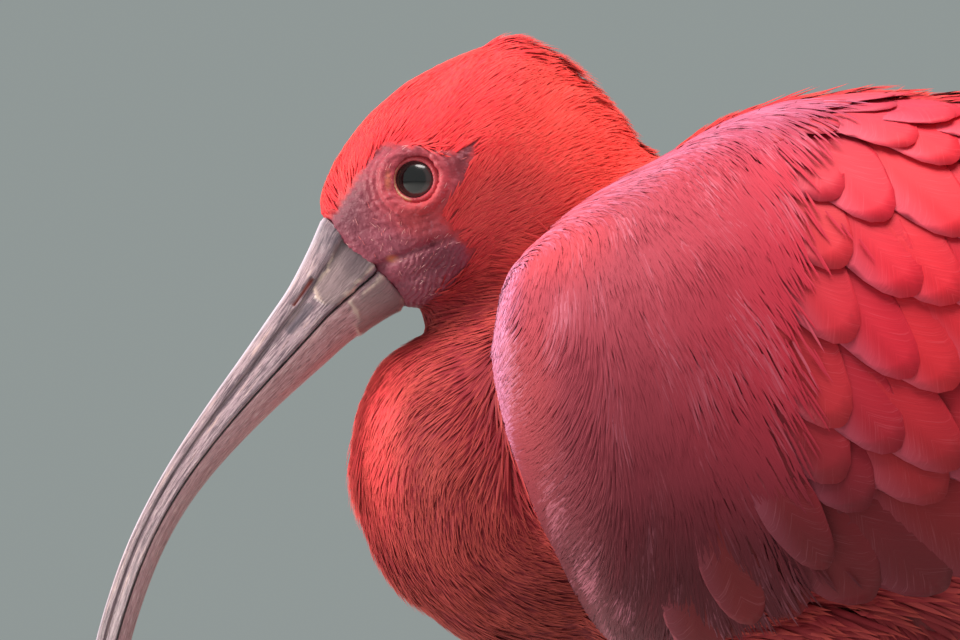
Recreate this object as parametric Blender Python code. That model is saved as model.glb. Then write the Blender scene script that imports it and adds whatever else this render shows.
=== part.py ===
"""Scarlet ibis, life size, standing on the floor with its neck drawn in and its bill hanging in front.

Metres, +Z up. The bird looks along -X, its left side is at -Y, and the origin lies on the floor
under the middle of the whole bird. Station tables are in millimetres, as a taxidermist would note them.
"""

import math
from collections import namedtuple

import bmesh
import bpy
from mathutils import Matrix, Vector
from mathutils.bvhtree import BVHTree

MM = 0.001
GAP = 0.32  # millimetres kept between two nodes that touch

LEFT = -1
RIGHT = 1

# Torso under the wings: place along the bird, height of back, height of belly, half width.
TORSO = [
    (-97, 226, 206, 6),
    (-93, 236, 196, 17),
    (-83, 254, 181, 31),
    (-71, 271, 172, 40),
    (-56, 283.5, 165.5, 45.5),
    (-41, 287.3, 163.5, 48),
    (-24, 289, 164.5, 48.5),
    (1, 283.8, 169, 47),
    (29, 272, 179, 41),
    (58, 254, 194, 31),
    (80, 241, 209, 21),
    (94, 232, 219, 11),
    (98, 228.5, 223, 6),
]
TORSO_RINGS = 18
TORSO_POINTS = 22
WIDEST_AT = 0.56  # share of the height, from the belly, where the torso is widest

# Crop and foreneck, folded down in front of the breast.
CROP_CENTRE = Vector((-82.8, 0, 216.5))
CROP_HALF_WIDTH = 31
# Radius of the crop in the bird's upright middle plane, by angle from the level line behind it.
CROP_PROFILE = [(-180, 40.3), (-140, 38.6), (-120, 37.5), (-60, 38), (80, 38), (105, 37.4), (117, 36)]
CROP_PROFILE += [(125, 35.8), (131, 36.6), (142, 38.8), (154, 41), (166, 40.8), (180, 40.3)]

# Head and upper neck, as sections fanned round a point below the throat:
# angle from the tail end of the level line, inner and outer radius, half width.
THROAT = Vector((-99.5, 0, 238.9))
HEAD = [
    (136, 9.0, 40.0, 8.3),
    (130, 7.5, 43.6, 10.8),
    (124, 7.5, 46.4, 12.8),
    (117, 7.5, 48.9, 14.3),
    (110, 7.5, 51.4, 15.3),
    (102, 7.5, 54.1, 16.2),
    (94, 7.5, 56.4, 16.9),
    (88, 7.5, 58.9, 17.2),
    (84, 7.5, 61.2, 17.3),
    (77, 7.5, 58.8, 17.6),
    (70, 7.5, 56.2, 17.8),
    (62, 7.5, 53.8, 17.8),
    (54, 7.5, 51.2, 17.6),
    (46, 7.5, 49.0, 17.4),
]
HEAD_RINGS = 16
HEAD_POINTS = 20
NECK_SWEEP = [(46, 7.5, 49.0, 17.4), (20, 6, 50, 18.5), (-12, 5, 50, 20)]
NECK_RINGS = 5

# Bill: distance from its base, heading below the level, tilt of the section, half depth, half width.
BILL_BASE = Vector((-120.8, 0, 255.4))
BILL_LENGTH = 151.0
BILL = [
    (0, 51, -8, 11.3, 7.0),
    (5, 50, -4, 9.6, 6.6),
    (12, 49, 0, 7.8, 6.0),
    (18, 48.5, 0, 7.0, 5.5),
    (31, 48.7, 0, 5.5, 4.7),
    (45, 52.3, 0, 4.3, 4.1),
    (58, 59.3, 0, 3.55, 3.6),
    (72, 69, 0, 3.25, 3.3),
    (86, 75, 0, 3.15, 3.1),
    (105, 82, 0, 2.85, 2.8),
    (125, 89, 0, 2.5, 2.4),
    (142, 95, 0, 2.05, 2.1),
    (151, 98, 0, 1.0, 1.1),
]
BILL_RINGS = 18
MOUTH_AT_BASE = 0.62  # share of the depth, from the culmen, where the mandibles meet
MOUTH = 0.565
MOUTH_SETTLES = 12  # millimetres from the base
# Half outline of the upper mandible: share of half width, share of the height above the mouth.
UPPER_OUTLINE = [(0.34, 0.95), (0.60, 0.80), (0.66, 0.66), (0.58, 0.58), (0.80, 0.44), (0.97, 0.18), (1, 0)]
LOWER_OUTLINE = [(0.99, 0), (0.96, 0.35), (0.76, 0.72), (0.40, 0.95)]
LOWER_STOPS_SHORT = 1.5
NOSTRIL_AT = 11.6
NOSTRIL = Vector((3.0, 1.2, 0.5))  # half length, half depth, half height of the slit

EYE_SPOT = Vector((-111.8, 0, 271.6))  # where the eye opens on the side of the head
EYE_RADIUS = 5.6
EYE_DEPTH = 4.3  # from the skin in to the eye's centre
LID_RADIUS = 4.8
LID_THICKNESS = 0.85
LID_POINTS = (15, 5)  # round the eye, round the lid
LID_OUT = 3.95  # from the eye's centre out to the plane of the lids
GAPE_FROM = Vector((-118.5, 6.6, 254.8))
GAPE_TO = Vector((-108.4, 13.9, 259.2))
GAPE = Vector((14.0, 2.2, 0.55))  # length, depth and height of the crease behind the bill

# The head looks a little towards the bird's left.
HEAD_TURN = math.radians(6)
HEAD_TURNS_ABOUT = Vector((-86, 0, 0))

# Outside of the folded wings: place along the bird, upper edge, lower edge, half width.
WINGS = [
    (-95.4, 241, 236, 36),
    (-93.4, 252, 225, 42),
    (-88.5, 260, 209, 47),
    (-82.8, 265.5, 197, 50.5),
    (-75, 271.8, 185, 53),
    (-67.6, 277, 180.5, 54.5),
    (-56, 285.5, 177, 55.5),
    (-41, 291, 177, 55.5),
    (-24, 293, 180, 55),
    (1, 292, 187, 52),
    (29, 284, 196, 46.5),
    (58, 267.5, 205, 38),
    (77, 255.5, 210.5, 31.5),
    (96, 244, 216.5, 27.5),
    (115, 232, 215, 23.5),
    (134, 220, 208, 18),
    (153, 208, 201.5, 12),
    (162, 202, 199, 6),
]
WING_RINGS = 22
WING_POINTS = 20
WING_SQUARENESS = (2.3, 2.6)  # above and below the middle, where 2 would be an ellipse
# Where the back shows between the wings, seen from above: place along the bird, half width.
BACK_SHOWS = [(-200, 20), (-45, 20), (-15, 13), (25, 2), (260, 2)]
# The core under the feathers: place along the bird, depth below their outside; and its edges.
CORE_DEPTH = [(-96, 0), (-74, 0), (-50, 2.4), (30, 2.8), (70, 4.0), (100, 8.0), (162, 9.0)]
CORE_EDGE = [(-200, 183), (-74, 183), (-60, 190), (-24, 200), (29, 213), (77, 222), (260, 222)]
CORE_ENDS = 96
VANES_REACH = [(-96, -1.1), (162, -1.1)]  # the same for the highest edges of the feathers

# How the feathers lie on the side of the wing: place along the bird, degrees down from straight back.
LIE = [(-95, 95), (-71, 80), (-49, 68), (-28, 58), (-7, 48), (29, 36), (67, 28), (115, 24), (165, 22)]
LIE_ON_BACK = 9
VANE_SHARES = (0, 0.42, 0.8, 1)  # stations of a vane, from root to tip
VANE_WIDTHS = (0.66, 1, 0.9, 0.34)
VANE_STEPS = 50
# Rows of vanes on each wing: how many, first and last tip as (place along the bird, height),
# first and last length, first and last width, depth of the root, depth of the tip,
# how much deeper each next vane lies, lift of the upper edge over the lower one, thickness.
Row = namedtuple("Row", "count first last lengths widths root_depth tip_depth under lift thickness")
ROWS = [
    Row(5, (122, 217), (160, 203), (90, 112), (13, 12), 7.2, 0.5, 0.5, -0.3, 0.6),
    Row(4, (74, 215.5), (104, 220), (74, 80), (16, 15), 5.6, 1.2, 0.3, -0.7, 0.7),
    Row(3, (88, 244), (118, 228), (84, 92), (18, 17), 4.2, -0.4, 0.8, -0.5, 0.7),
    Row(7, (-63, 185), (52, 209), (42, 58), (20, 19), 3.8, -0.1, 0, 0.65, 0.8),
    Row(6, (-48, 205), (56, 226), (38, 46), (22, 20), 4.0, -0.3, 0, 0.65, 0.8),
    Row(3, (14, 262), (66, 250), (54, 58), (22, 20), 4.0, -0.4, 0, -0.6, 0.8),
    Row(3, (24, 281), (74, 258), (54, 58), (20, 18), 4.2, -0.6, 0, -0.4, 0.8),
]

TAIL_ROOT = Vector((70, 0, 231.5))
TAIL_SLOPE = math.radians(24.6)
TAIL_CORE_LENGTH = 62
TAIL_HALF_WIDTHS = [(0, 9), (25, 13), (50, 14), (62, 9)]
TAIL_HALF_THICKNESS = [(0, 7.5), (25, 5), (50, 3.2), (62, 1.2)]
TAIL_FEATHERS = 6  # on each side
TAIL_FEATHER_LENGTH = 99
TAIL_FEATHER_WIDTH = 19
TAIL_FEATHER_THICKNESS = 0.6
TAIL_FEATHERS_START = 13
TAIL_VANE_WIDTHS = (0.45, 0.92, 1, 0.5)
TAIL_STEP = 0.95  # each feather lies this far under the one nearer the middle
TAIL_SPREAD = 14.5
TAIL_STEPS_BACK = 1.4

HIP = Vector((-36, 23, 200))
TIBIA_FEATHERED_TO = Vector((-7, 26, 147))
ANKLE = Vector((9, 28, 99))
FOOT_JOINT = Vector((-10, 30, 6))
THIGH_RADII = [(0, 19), (0.35, 16.5), (0.7, 11), (0.92, 7.2), (1, 6.0)]
SHANK_RADII = [(0, 3.4), (0.5, 3.1), (0.8, 3.5), (1, 4.2)]
ANKLE_RADII = Vector((5.0, 4.6, 5.6))
TARSUS_RADII = [(0, 4.0), (0.08, 4.0), (0.16, 3.1), (0.5, 2.7), (0.85, 2.8), (0.95, 3.5), (1, 3.6)]
FOOT_JOINT_RADII = Vector((4.4, 4.4, 4.2))
# Toes: turn from straight ahead (outwards is positive), length, half width at the root.
TOES = [(0, 62, 3.1), (-27, 46, 2.8), (29, 52, 2.8), (176, 30, 2.6)]
TOE_RINGS = 8
TOE_POINTS = 8
TOE_JOINTS = 3
CLAW_SHARE = 0.14


def smooth_row(rows, key):
    """Columns of a station table at a key between its rows, along a smooth curve through them."""
    keys = [row[0] for row in rows]
    key = min(max(key, keys[0]), keys[-1])
    low = max(n for n in range(len(rows) - 1) if keys[n] <= key)
    span = keys[low + 1] - keys[low]
    t = (key - keys[low]) / span

    def slope(n, column):
        before, after = max(n - 1, 0), min(n + 1, len(rows) - 1)
        return (rows[after][column] - rows[before][column]) / (keys[after] - keys[before]) * span

    found = []
    for column in range(1, len(rows[0])):
        start, end = rows[low][column], rows[low + 1][column]
        value = start * (2 * t**3 - 3 * t**2 + 1) + end * (3 * t**2 - 2 * t**3)
        value += slope(low, column) * (t**3 - 2 * t**2 + t) + slope(low + 1, column) * (t**3 - t**2)
        found.append(value)
    return found


def eased(count, power=1.0):
    """Shares from 0 to 1, closer together at both ends as power rises."""
    for n in range(count):
        t = n / (count - 1)
        round_share = (1 - math.cos(math.pi * t)) / 2
        yield t + (round_share - t) * power


def loft(rings):
    """A closed body through rings of points, in millimetres."""
    bm = bmesh.new()
    loops = [[bm.verts.new(point) for point in ring] for ring in rings]
    count = len(loops[0])
    for near, far in zip(loops, loops[1:]):
        for n in range(count):
            after = (n + 1) % count
            bm.faces.new((near[n], near[after], far[after], far[n]))
    bm.faces.new(loops[0])
    bm.faces.new(loops[-1])
    bmesh.ops.recalc_face_normals(bm, faces=bm.faces)
    return bm


def oval(centre, up, side, above, below, half_width, points):
    """A ring round centre, taller above than below where asked."""
    ring = []
    for n in range(points):
        angle = 2 * math.pi * n / points
        height = above if math.sin(angle) > 0 else below
        ring.append(centre + side * (half_width * math.cos(angle)) + up * (height * math.sin(angle)))
    return ring


def add_object(name, bm, material, scale=MM):
    """The named object of a bmesh drawn in millimetres, with bent faces split alike in every copy."""
    bmesh.ops.triangulate(bm, faces=bm.faces)
    bmesh.ops.scale(bm, vec=(scale,) * 3, verts=bm.verts)
    mesh = bpy.data.meshes.new(name)
    bm.to_mesh(mesh)
    bm.free()
    obj = bpy.data.objects.new(name, mesh)
    ibis.objects.link(obj)
    if material is not None:
        mesh.materials.append(material)
    mesh.shade_smooth()
    return obj


def finish(name, hex_colour, roughness):
    """A plain Principled material."""
    made = bpy.data.materials.new(name)
    made.use_nodes = True
    shader = made.node_tree.nodes["Principled BSDF"]
    channels = [int(hex_colour[n : n + 2], 16) / 255 for n in (0, 2, 4)]
    linear = [c / 12.92 if c <= 0.04045 else ((c + 0.055) / 1.055) ** 2.4 for c in channels]
    shader.inputs["Base Color"].default_value = (*linear, 1)
    shader.inputs["Roughness"].default_value = roughness
    return made


def swollen(form, by=GAP):
    """A helper copy of a whole form, grown evenly, that cuts its neighbours clear of it."""
    bm = bmesh.new()
    bm.from_mesh(form)
    bm.normal_update()
    moves = [v.normal * (by * MM * min(v.calc_shell_factor(), 1.6)) for v in bm.verts]
    for v, move in zip(bm.verts, moves):
        v.co += move
    mesh = bpy.data.meshes.new("clearance")
    bm.to_mesh(mesh)
    bm.free()
    return bpy.data.objects.new("clearance", mesh)


def boolean(obj, operation, others):
    """Joins others to obj, or cuts them from it, and removes them."""
    group = bpy.data.collections.new("operands")
    bpy.context.scene.collection.children.link(group)
    for other in others:
        group.objects.link(other)
        for home in other.users_collection:
            if home is not group:
                home.objects.unlink(other)
    step = obj.modifiers.new(operation.lower(), "BOOLEAN")
    step.operation = operation
    step.operand_type = "COLLECTION"
    step.collection = group
    step.solver = "MANIFOLD"
    graph = bpy.context.evaluated_depsgraph_get()
    graph.update()
    made = bpy.data.meshes.new_from_object(obj.evaluated_get(graph))
    obj.modifiers.clear()
    old, obj.data = obj.data, made
    bpy.data.meshes.remove(old)
    for other in others:
        bpy.data.objects.remove(other)
    bpy.data.collections.remove(group)
    keep_largest(obj)


def keep_largest(obj):
    """Drops every closed surface but the one with the most room in it."""
    bm = bmesh.new()
    bm.from_mesh(obj.data)
    left = set(bm.faces)
    shells = []
    while left:
        shell, edge = set(), [left.pop()]
        while edge:
            face = edge.pop()
            shell.add(face)
            for joint in face.edges:
                for neighbour in joint.link_faces if len(joint.link_faces) == 2 else ():
                    if neighbour in left:
                        left.remove(neighbour)
                        edge.append(neighbour)
        room = sum(f.calc_center_median().dot(f.normal) * f.calc_area() for f in shell)
        shells.append((room, shell))
    shells.sort(key=lambda pair: pair[0], reverse=True)
    loose = [face for _, shell in shells[1:] for face in shell]
    if loose:
        bmesh.ops.delete(bm, geom=loose, context="FACES")
        bm.to_mesh(obj.data)
    bm.free()


def torso_ring(x):
    back, belly, half_width = smooth_row(TORSO, x)
    middle = belly + (back - belly) * WIDEST_AT
    centre = Vector((x, 0, middle))
    return oval(centre, UP, SIDE, back - middle, middle - belly, half_width, TORSO_POINTS)


def wing_point(x, turn, side=RIGHT):
    """A point on the outside of the folded wings, where turn is 90 on top and 0 at the side."""
    upper, lower, half_width = smooth_row(WINGS, x)
    across, rise = math.cos(math.radians(turn)), math.sin(math.radians(turn))
    squareness = WING_SQUARENESS[0] if rise > 0 else WING_SQUARENESS[1]
    stretch = (abs(across) ** squareness + abs(rise) ** squareness) ** (-1 / squareness)
    height = (upper + lower) / 2 + (upper - lower) / 2 * rise * stretch
    return Vector((x, side * half_width * across * stretch, height))


def wing_frame(x, turn, side):
    """A point on the wings' outside with its outward, backward and downward directions, and their scales."""
    place = wing_point(x, turn, side)
    by_x = (wing_point(x + 0.5, turn, side) - place) / 0.5
    by_turn = (wing_point(x, turn - 0.5, side) - place) / 0.5
    back = by_x.normalized()
    skew = by_turn.dot(back)
    down = by_turn - back * skew
    out = back.cross(down.normalized()) * side
    return place, out, by_x.length, down.length, skew


def wing_step(x, turn, side, back, down):
    """Where a short way back and down the wings' outside leads."""
    _, _, per_x, per_turn, skew = wing_frame(x, turn, side)
    turned = down / per_turn
    return x + (back - turned * skew) / per_x, turn - turned


def turn_at(x, height):
    """The turn at which the wings' outside has this height."""
    low, high = -90.0, 90.0
    for _ in range(30):
        middle = (low + high) / 2
        if wing_point(x, middle).z < height:
            low = middle
        else:
            high = middle
    return low


def wings_form(depths=None):
    """Both folded wings as one body, sunk below their outside by the depths of a table."""
    rings = []
    for x in along(WINGS, WING_RINGS, 0.5):
        depth = smooth_row(depths, x)[0] if depths else 0.0
        ring = []
        for n in range(WING_POINTS):
            place, out = wing_frame(x, 360 * n / WING_POINTS, RIGHT)[:2]
            ring.append(place - Vector((0, out.y, out.z)) * depth)
        rings.append(ring)
    return loft(rings)


def lie_at(x, turn):
    """Heading of the feathers, in radians down from straight back."""
    on_back = min(max((turn - 35) / 45, 0), 1)
    at_side = smooth_row(LIE, x)[0]
    return math.radians(at_side + (LIE_ON_BACK - at_side) * on_back)


def vane(stations, thickness):
    """A thin feather vane through stations of three (place, outward) pairs, from root to tip."""
    bm = bmesh.new()
    outward = bm.verts.layers.float_vector.new("outward")
    bmesh.ops.create_grid(bm, x_segments=2, y_segments=len(stations) - 1, size=1)
    for v in bm.verts:
        row = round((v.co.y + 1) / 2 * (len(stations) - 1))
        place, out = stations[row][round(v.co.x) + 1]
        v.co = place
        v[outward] = out
    bmesh.ops.triangulate(bm, faces=bm.faces)
    raised = bmesh.ops.extrude_face_region(bm, geom=bm.faces[:])["geom"]
    for v in raised:
        if isinstance(v, bmesh.types.BMVert):
            v.co += v[outward] * thickness
    bmesh.ops.recalc_face_normals(bm, faces=bm.faces)
    return bm


def wing_vane(side, row, number):
    """One feather of a row, laid along the wing's outside from its tip back to its root."""
    share = number / (row.count - 1)
    x = row.first[0] + (row.last[0] - row.first[0]) * share
    turn = turn_at(x, row.first[1] + (row.last[1] - row.first[1]) * share)
    length = row.lengths[0] + (row.lengths[1] - row.lengths[0]) * share
    width = row.widths[0] + (row.widths[1] - row.widths[0]) * share
    path = [(x, turn)]
    for _ in range(VANE_STEPS):
        heading = lie_at(x, turn)
        step = length / VANE_STEPS
        x, turn = wing_step(x, turn, side, -math.cos(heading) * step, -math.sin(heading) * step)
        path.append((x, turn))
    stations = []
    for along_it, breadth in zip(VANE_SHARES, VANE_WIDTHS):
        x, turn = path[round((1 - along_it) * VANE_STEPS)]
        heading = lie_at(x, turn)
        depth = row.tip_depth + (row.root_depth - row.tip_depth) * (1 - along_it) + row.under * number
        station = []
        for edge in (-1, 0, 1):
            reach = edge * breadth * width / 2
            there = wing_step(x, turn, side, math.sin(heading) * reach, -math.cos(heading) * reach)
            place, out = wing_frame(*there, side)[:2]
            station.append((place + out * (edge * row.lift - depth - row.thickness), out))
        stations.append(station)
    return vane(stations, row.thickness)


def tail_directions():
    back = Vector((math.cos(TAIL_SLOPE), 0, -math.sin(TAIL_SLOPE)))
    up = Vector((math.sin(TAIL_SLOPE), 0, math.cos(TAIL_SLOPE)))
    return back, up


def tail_vane(side, number):
    """One tail feather, each further from the middle under the last."""
    back, up = tail_directions()
    share = (number + 0.5) / TAIL_FEATHERS
    drop = TAIL_STEP * (number if side == RIGHT else number + 0.5)
    length = TAIL_FEATHER_LENGTH - TAIL_STEPS_BACK * number
    swing = math.asin(TAIL_SPREAD * share / length) * side
    out_along = back * math.cos(swing) + SIDE * math.sin(swing)
    across = SIDE * math.cos(swing) - back * math.sin(swing)
    root = TAIL_ROOT + back * TAIL_FEATHERS_START + up * (1.6 - drop * 0.6)
    stations = []
    for along_it, breadth in zip(VANE_SHARES, TAIL_VANE_WIDTHS):
        middle = root + out_along * (length * along_it) - up * (drop * 0.4 * along_it)
        station = []
        for edge in (-1, 0, 1):
            place = middle + across * (edge * breadth * TAIL_FEATHER_WIDTH / 2)
            station.append((place - up * (0.5 * abs(edge)), up))
        stations.append(station)
    return vane(stations, TAIL_FEATHER_THICKNESS)


def along(table, rings, power):
    first, last = table[0][0], table[-1][0]
    return [first + (last - first) * share for share in eased(rings, power)]


def fan_ring(angle, inner, outer, half_width):
    turn = math.radians(angle)
    out = Vector((math.cos(turn), 0, math.sin(turn)))
    centre = THROAT + out * ((inner + outer) / 2)
    half = (outer - inner) / 2
    return oval(centre, out, SIDE, half, half, half_width, HEAD_POINTS)


def head_body():
    first_heading = math.radians(BILL[0][1] + BILL[0][2])
    up = Vector((-math.sin(first_heading), 0, math.cos(first_heading)))
    rings = [oval(BILL_BASE, up, SIDE, BILL[0][3], BILL[0][3], BILL[0][4], HEAD_POINTS)]
    first, last = HEAD[0][0], HEAD[-1][0]
    table = [(-angle, *rest) for angle, *rest in HEAD]
    for share in eased(HEAD_RINGS, 0):
        angle = first + (last - first) * share
        rings.append(fan_ring(angle, *smooth_row(table, -angle)))
    return loft(rings)


def neck_sweep():
    table = [(-angle, *rest) for angle, *rest in NECK_SWEEP]
    first, last = NECK_SWEEP[0][0], NECK_SWEEP[-1][0]
    clear = math.degrees(GAP / 28)
    rings = []
    for share in eased(NECK_RINGS, 0):
        angle = first - clear + (last - first + clear) * share
        rings.append(fan_ring(angle, *smooth_row(table, -angle)))
    return loft(rings)


def bill_stations(length):
    """Place, up direction and size of the bill's sections, walked along its bend."""
    place, done = BILL_BASE.copy(), 0.0
    for share in eased(BILL_RINGS, 0.55):
        goal = length * share
        while done < goal - 1e-6:
            step = min(0.5, goal - done)
            heading = math.radians(smooth_row(BILL, done + step / 2)[0])
            place = place + Vector((-math.cos(heading), 0, -math.sin(heading))) * step
            done += step
        heading, tilt, half_depth, half_width = smooth_row(BILL, done)
        turn = math.radians(heading + tilt)
        up = Vector((-math.sin(turn), 0, math.cos(turn)))
        ahead = Vector((-math.cos(turn), 0, -math.sin(turn)))
        yield done, place + ahead * GAP, up, half_depth, half_width


def mouth_level(done, half_depth):
    settled = min(done / MOUTH_SETTLES, 1)
    share = MOUTH_AT_BASE + (MOUTH - MOUTH_AT_BASE) * settled
    return half_depth * (1 - 2 * share)


def mandible(length, outline, upper):
    rings = []
    for done, place, up, half_depth, half_width in bill_stations(length):
        mouth = mouth_level(done, half_depth) + (GAP / 2 if upper else -GAP / 2)
        reach = half_depth - mouth if upper else -half_depth - mouth
        right = [place + SIDE * (half_width * w) + up * (mouth + reach * h) for w, h in outline]
        left = [place - SIDE * (half_width * w) + up * (mouth + reach * h) for w, h in outline]
        ridge, floor = place + up * (mouth + reach), place + up * mouth
        if upper:
            rings.append([ridge, *right, floor, *reversed(left)])
        else:
            rings.append([floor, *right, ridge, *reversed(left)])
    return loft(rings)


def crop():
    """The folded foreneck: a ball squashed from side to side, fuller in front than at the throat."""
    bm = ball(Vector((1, CROP_HALF_WIDTH, 1)), Vector((0, 0, 0)), 22, 15)
    for v in bm.verts:
        radius = smooth_row(CROP_PROFILE, math.degrees(math.atan2(v.co.z, v.co.x)))[0]
        v.co = Vector((v.co.x * radius, v.co.y, v.co.z * radius)) + CROP_CENTRE
    return bm


def ball(radii, centre, turns=24, levels=14):
    bm = bmesh.new()
    bmesh.ops.create_uvsphere(bm, u_segments=turns, v_segments=levels, radius=1)
    bmesh.ops.scale(bm, vec=radii, verts=bm.verts)
    bmesh.ops.translate(bm, vec=centre, verts=bm.verts)
    return bm


def turned_form(form):
    """Turns a form of the head with the rest of it, about an upright line through the neck."""
    about = Matrix.Translation(HEAD_TURNS_ABOUT * MM)
    form.transform(about @ Matrix.Rotation(HEAD_TURN, 4, "Z") @ about.inverted())


def turned_head(obj):
    turned_form(obj.data)
    return obj


def eye_frame(side):
    """Centre of an eye and the way it looks: straight out through the skin of the head."""
    skin = BVHTree.FromPolygons(*form_polygons(whole["head"]))
    from_side = Vector((EYE_SPOT.x, 60, EYE_SPOT.z))
    spot, out, _, _ = skin.ray_cast(from_side, -SIDE)
    centre = spot - out * EYE_DEPTH
    return on_side(centre, side), on_side(out, side)


def form_polygons(form):
    """The points and faces of a form, back in millimetres."""
    return [v.co / MM for v in form.vertices], [tuple(p.vertices) for p in form.polygons]


def lids(side):
    """The ring of both lids, as a tube bent round the eye."""
    centre, out = eye_frame(side)
    bm = bmesh.new()
    across = out.cross(UP).normalized()
    other = across.cross(out)
    loops = []
    for n in range(LID_POINTS[0]):
        angle = 2 * math.pi * n / LID_POINTS[0]
        away = across * math.cos(angle) + other * math.sin(angle)
        middle = centre + out * LID_OUT + away * LID_RADIUS
        loop = []
        for k in range(LID_POINTS[1]):
            bend = 2 * math.pi * k / LID_POINTS[1]
            spot = middle + (away * math.cos(bend) + out * math.sin(bend)) * LID_THICKNESS
            loop.append(bm.verts.new(spot))
        loops.append(loop)
    for near, far in zip(loops, loops[1:] + loops[:1]):
        for k in range(LID_POINTS[1]):
            after = (k + 1) % LID_POINTS[1]
            bm.faces.new((near[k], near[after], far[after], far[k]))
    bmesh.ops.recalc_face_normals(bm, faces=bm.faces)
    return bm


def gape_cutter(side):
    start = Vector((GAPE_FROM.x, GAPE_FROM.y * side, GAPE_FROM.z))
    end = Vector((GAPE_TO.x, GAPE_TO.y * side, GAPE_TO.z))
    bm = bmesh.new()
    bmesh.ops.create_cube(bm, size=1)
    bmesh.ops.scale(bm, vec=GAPE, verts=bm.verts)
    turn = (end - start).to_track_quat("X", "Z").to_matrix().to_4x4()
    bmesh.ops.transform(bm, matrix=Matrix.Translation((start + end) / 2) @ turn, verts=bm.verts)
    return bm


def nostril_cutter(side):
    for done, place, up, half_depth, half_width in bill_stations(BILL_LENGTH):
        if done >= NOSTRIL_AT:
            break
    mouth = mouth_level(done, half_depth)
    spot = place + up * (mouth + (half_depth - mouth) * 0.62) + SIDE * (side * half_width * 0.66)
    bm = ball(NOSTRIL, Vector((0, 0, 0)), 10, 6)
    ahead = up.cross(SIDE)
    turn = Matrix((ahead, SIDE, up)).transposed().to_4x4()
    bmesh.ops.transform(bm, matrix=Matrix.Translation(spot) @ turn, verts=bm.verts)
    return bm


def limb(start, end, radii, points=10, rings=8):
    """A round limb from start to end whose radius follows a table of shares."""
    axis = (end - start).normalized()
    across = axis.cross(UP if abs(axis.z) < 0.99 else AHEAD).normalized()
    other = axis.cross(across)
    found = []
    for share in eased(rings, 0.6):
        radius = smooth_row(radii, share)[0]
        found.append(oval(start.lerp(end, share), other, across, radius, radius, radius, points))
    return loft(found)


def on_side(point, side):
    return Vector((point.x, point.y * side, point.z))


def toe(side, turn, length, half_width):
    """One toe and its claw, flat underneath along the floor."""
    heading = math.radians(turn)
    ahead = Vector((-math.cos(heading), side * math.sin(heading), 0))
    across = ahead.cross(UP)
    root = Vector((FOOT_JOINT.x, FOOT_JOINT.y * side, 0))
    rings = []
    for share in eased(TOE_RINGS, 0.3):
        if share < 1 - CLAW_SHARE:
            pad = 1 + 0.12 * math.cos(2 * math.pi * TOE_JOINTS * share)
            width = half_width * (1 - 0.42 * share) * pad
        else:
            width = half_width * 0.5 * (1.12 - (share - 1 + CLAW_SHARE) / CLAW_SHARE)
        height = width * 1.75
        centre = root + ahead * (length * share)
        ring = []
        for k in range(TOE_POINTS):
            angle = 2 * math.pi * (k + 0.5) / TOE_POINTS
            level = max(0.0, height * (0.42 + 0.58 * math.sin(angle)))
            ring.append(centre + across * (width * math.cos(angle)) + UP * level)
        rings.append(ring)
    return loft(rings)


def behind_the_core():
    far = 300
    return slab([(CORE_ENDS, 100), (far, 100), (far, 350), (CORE_ENDS, 350)], -90, 90, "Y")


def clear_of(obj, *names):
    """Cuts obj clear of the whole forms of its neighbours."""
    for name in names:
        boolean(obj, "DIFFERENCE", [swollen(whole[name])])


def slab(outline, low, high, axis):
    """A body with an outline of two numbers a point, drawn out along the third direction."""
    ends = []
    for level in (low, high):
        ends.append([Vector((x, v, level) if axis == "Z" else (x, level, v)) for x, v in outline])
    return loft(ends)


def beyond_the_back(side):
    """Everything past one wing's inner edge."""
    edge = [(x, side * half_width) for x, half_width in BACK_SHOWS]
    far = [(BACK_SHOWS[-1][0], -side * 90), (BACK_SHOWS[0][0], -side * 90)]
    return slab(edge + far, 100, 350, "Z")


def below_the_wing():
    far = [(CORE_EDGE[-1][0], 100), (CORE_EDGE[0][0], 100)]
    return slab(CORE_EDGE + far, -90, 90, "Y")


def tail_core():
    back, up = tail_directions()
    rings = []
    for share in eased(8, 0.4):
        done = TAIL_CORE_LENGTH * share
        half_width = smooth_row(TAIL_HALF_WIDTHS, done)[0]
        half_thickness = smooth_row(TAIL_HALF_THICKNESS, done)[0]
        rings.append(oval(TAIL_ROOT + back * done, up, SIDE, half_thickness, half_thickness, half_width, 14))
    return loft(rings)


UP = Vector((0, 0, 1))
SIDE = Vector((0, 1, 0))
AHEAD = Vector((-1, 0, 0))

for old in list(bpy.data.objects):
    bpy.data.objects.remove(old)
ibis = bpy.data.collections.new("scarlet_ibis")
bpy.context.scene.collection.children.link(ibis)

scarlet = finish("scarlet_plumage", "E8322F", 0.7)
rose = finish("rose_wing_plumage", "D63F50", 0.65)
horn = finish("pinkish_brown_horn", "8F7072", 0.4)
dark_eye = finish("dark_brown_eye", "1C1210", 0.08)
bare_leg = finish("rose_leg_skin", "C0696C", 0.55)

torso = add_object("torso", loft([torso_ring(x) for x in along(TORSO, TORSO_RINGS, 0.6)]), scarlet)
head = add_object("head", head_body(), scarlet)
whole = {"torso": torso.data.copy(), "head": head.data.copy()}
turned_head(head)
pieces = []
for side in (LEFT, RIGHT):
    pieces.append(turned_head(add_object("lids", lids(side), None)))
boolean(head, "UNION", pieces)
hollows = []
for side, word in ((LEFT, "left"), (RIGHT, "right")):
    centre = eye_frame(side)[0]
    socket = ball(Vector((EYE_RADIUS + GAP,) * 3), centre, 20, 14)
    hollows.append(turned_head(add_object("socket", socket, None)))
    hollows.append(turned_head(add_object("gape", gape_cutter(side), None)))
    eye = ball(Vector((EYE_RADIUS,) * 3), centre, 14, 8)
    turned_head(add_object(f"eye_{word}", eye, dark_eye))
boolean(head, "DIFFERENCE", hollows)
turned_form(whole["head"])

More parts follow.
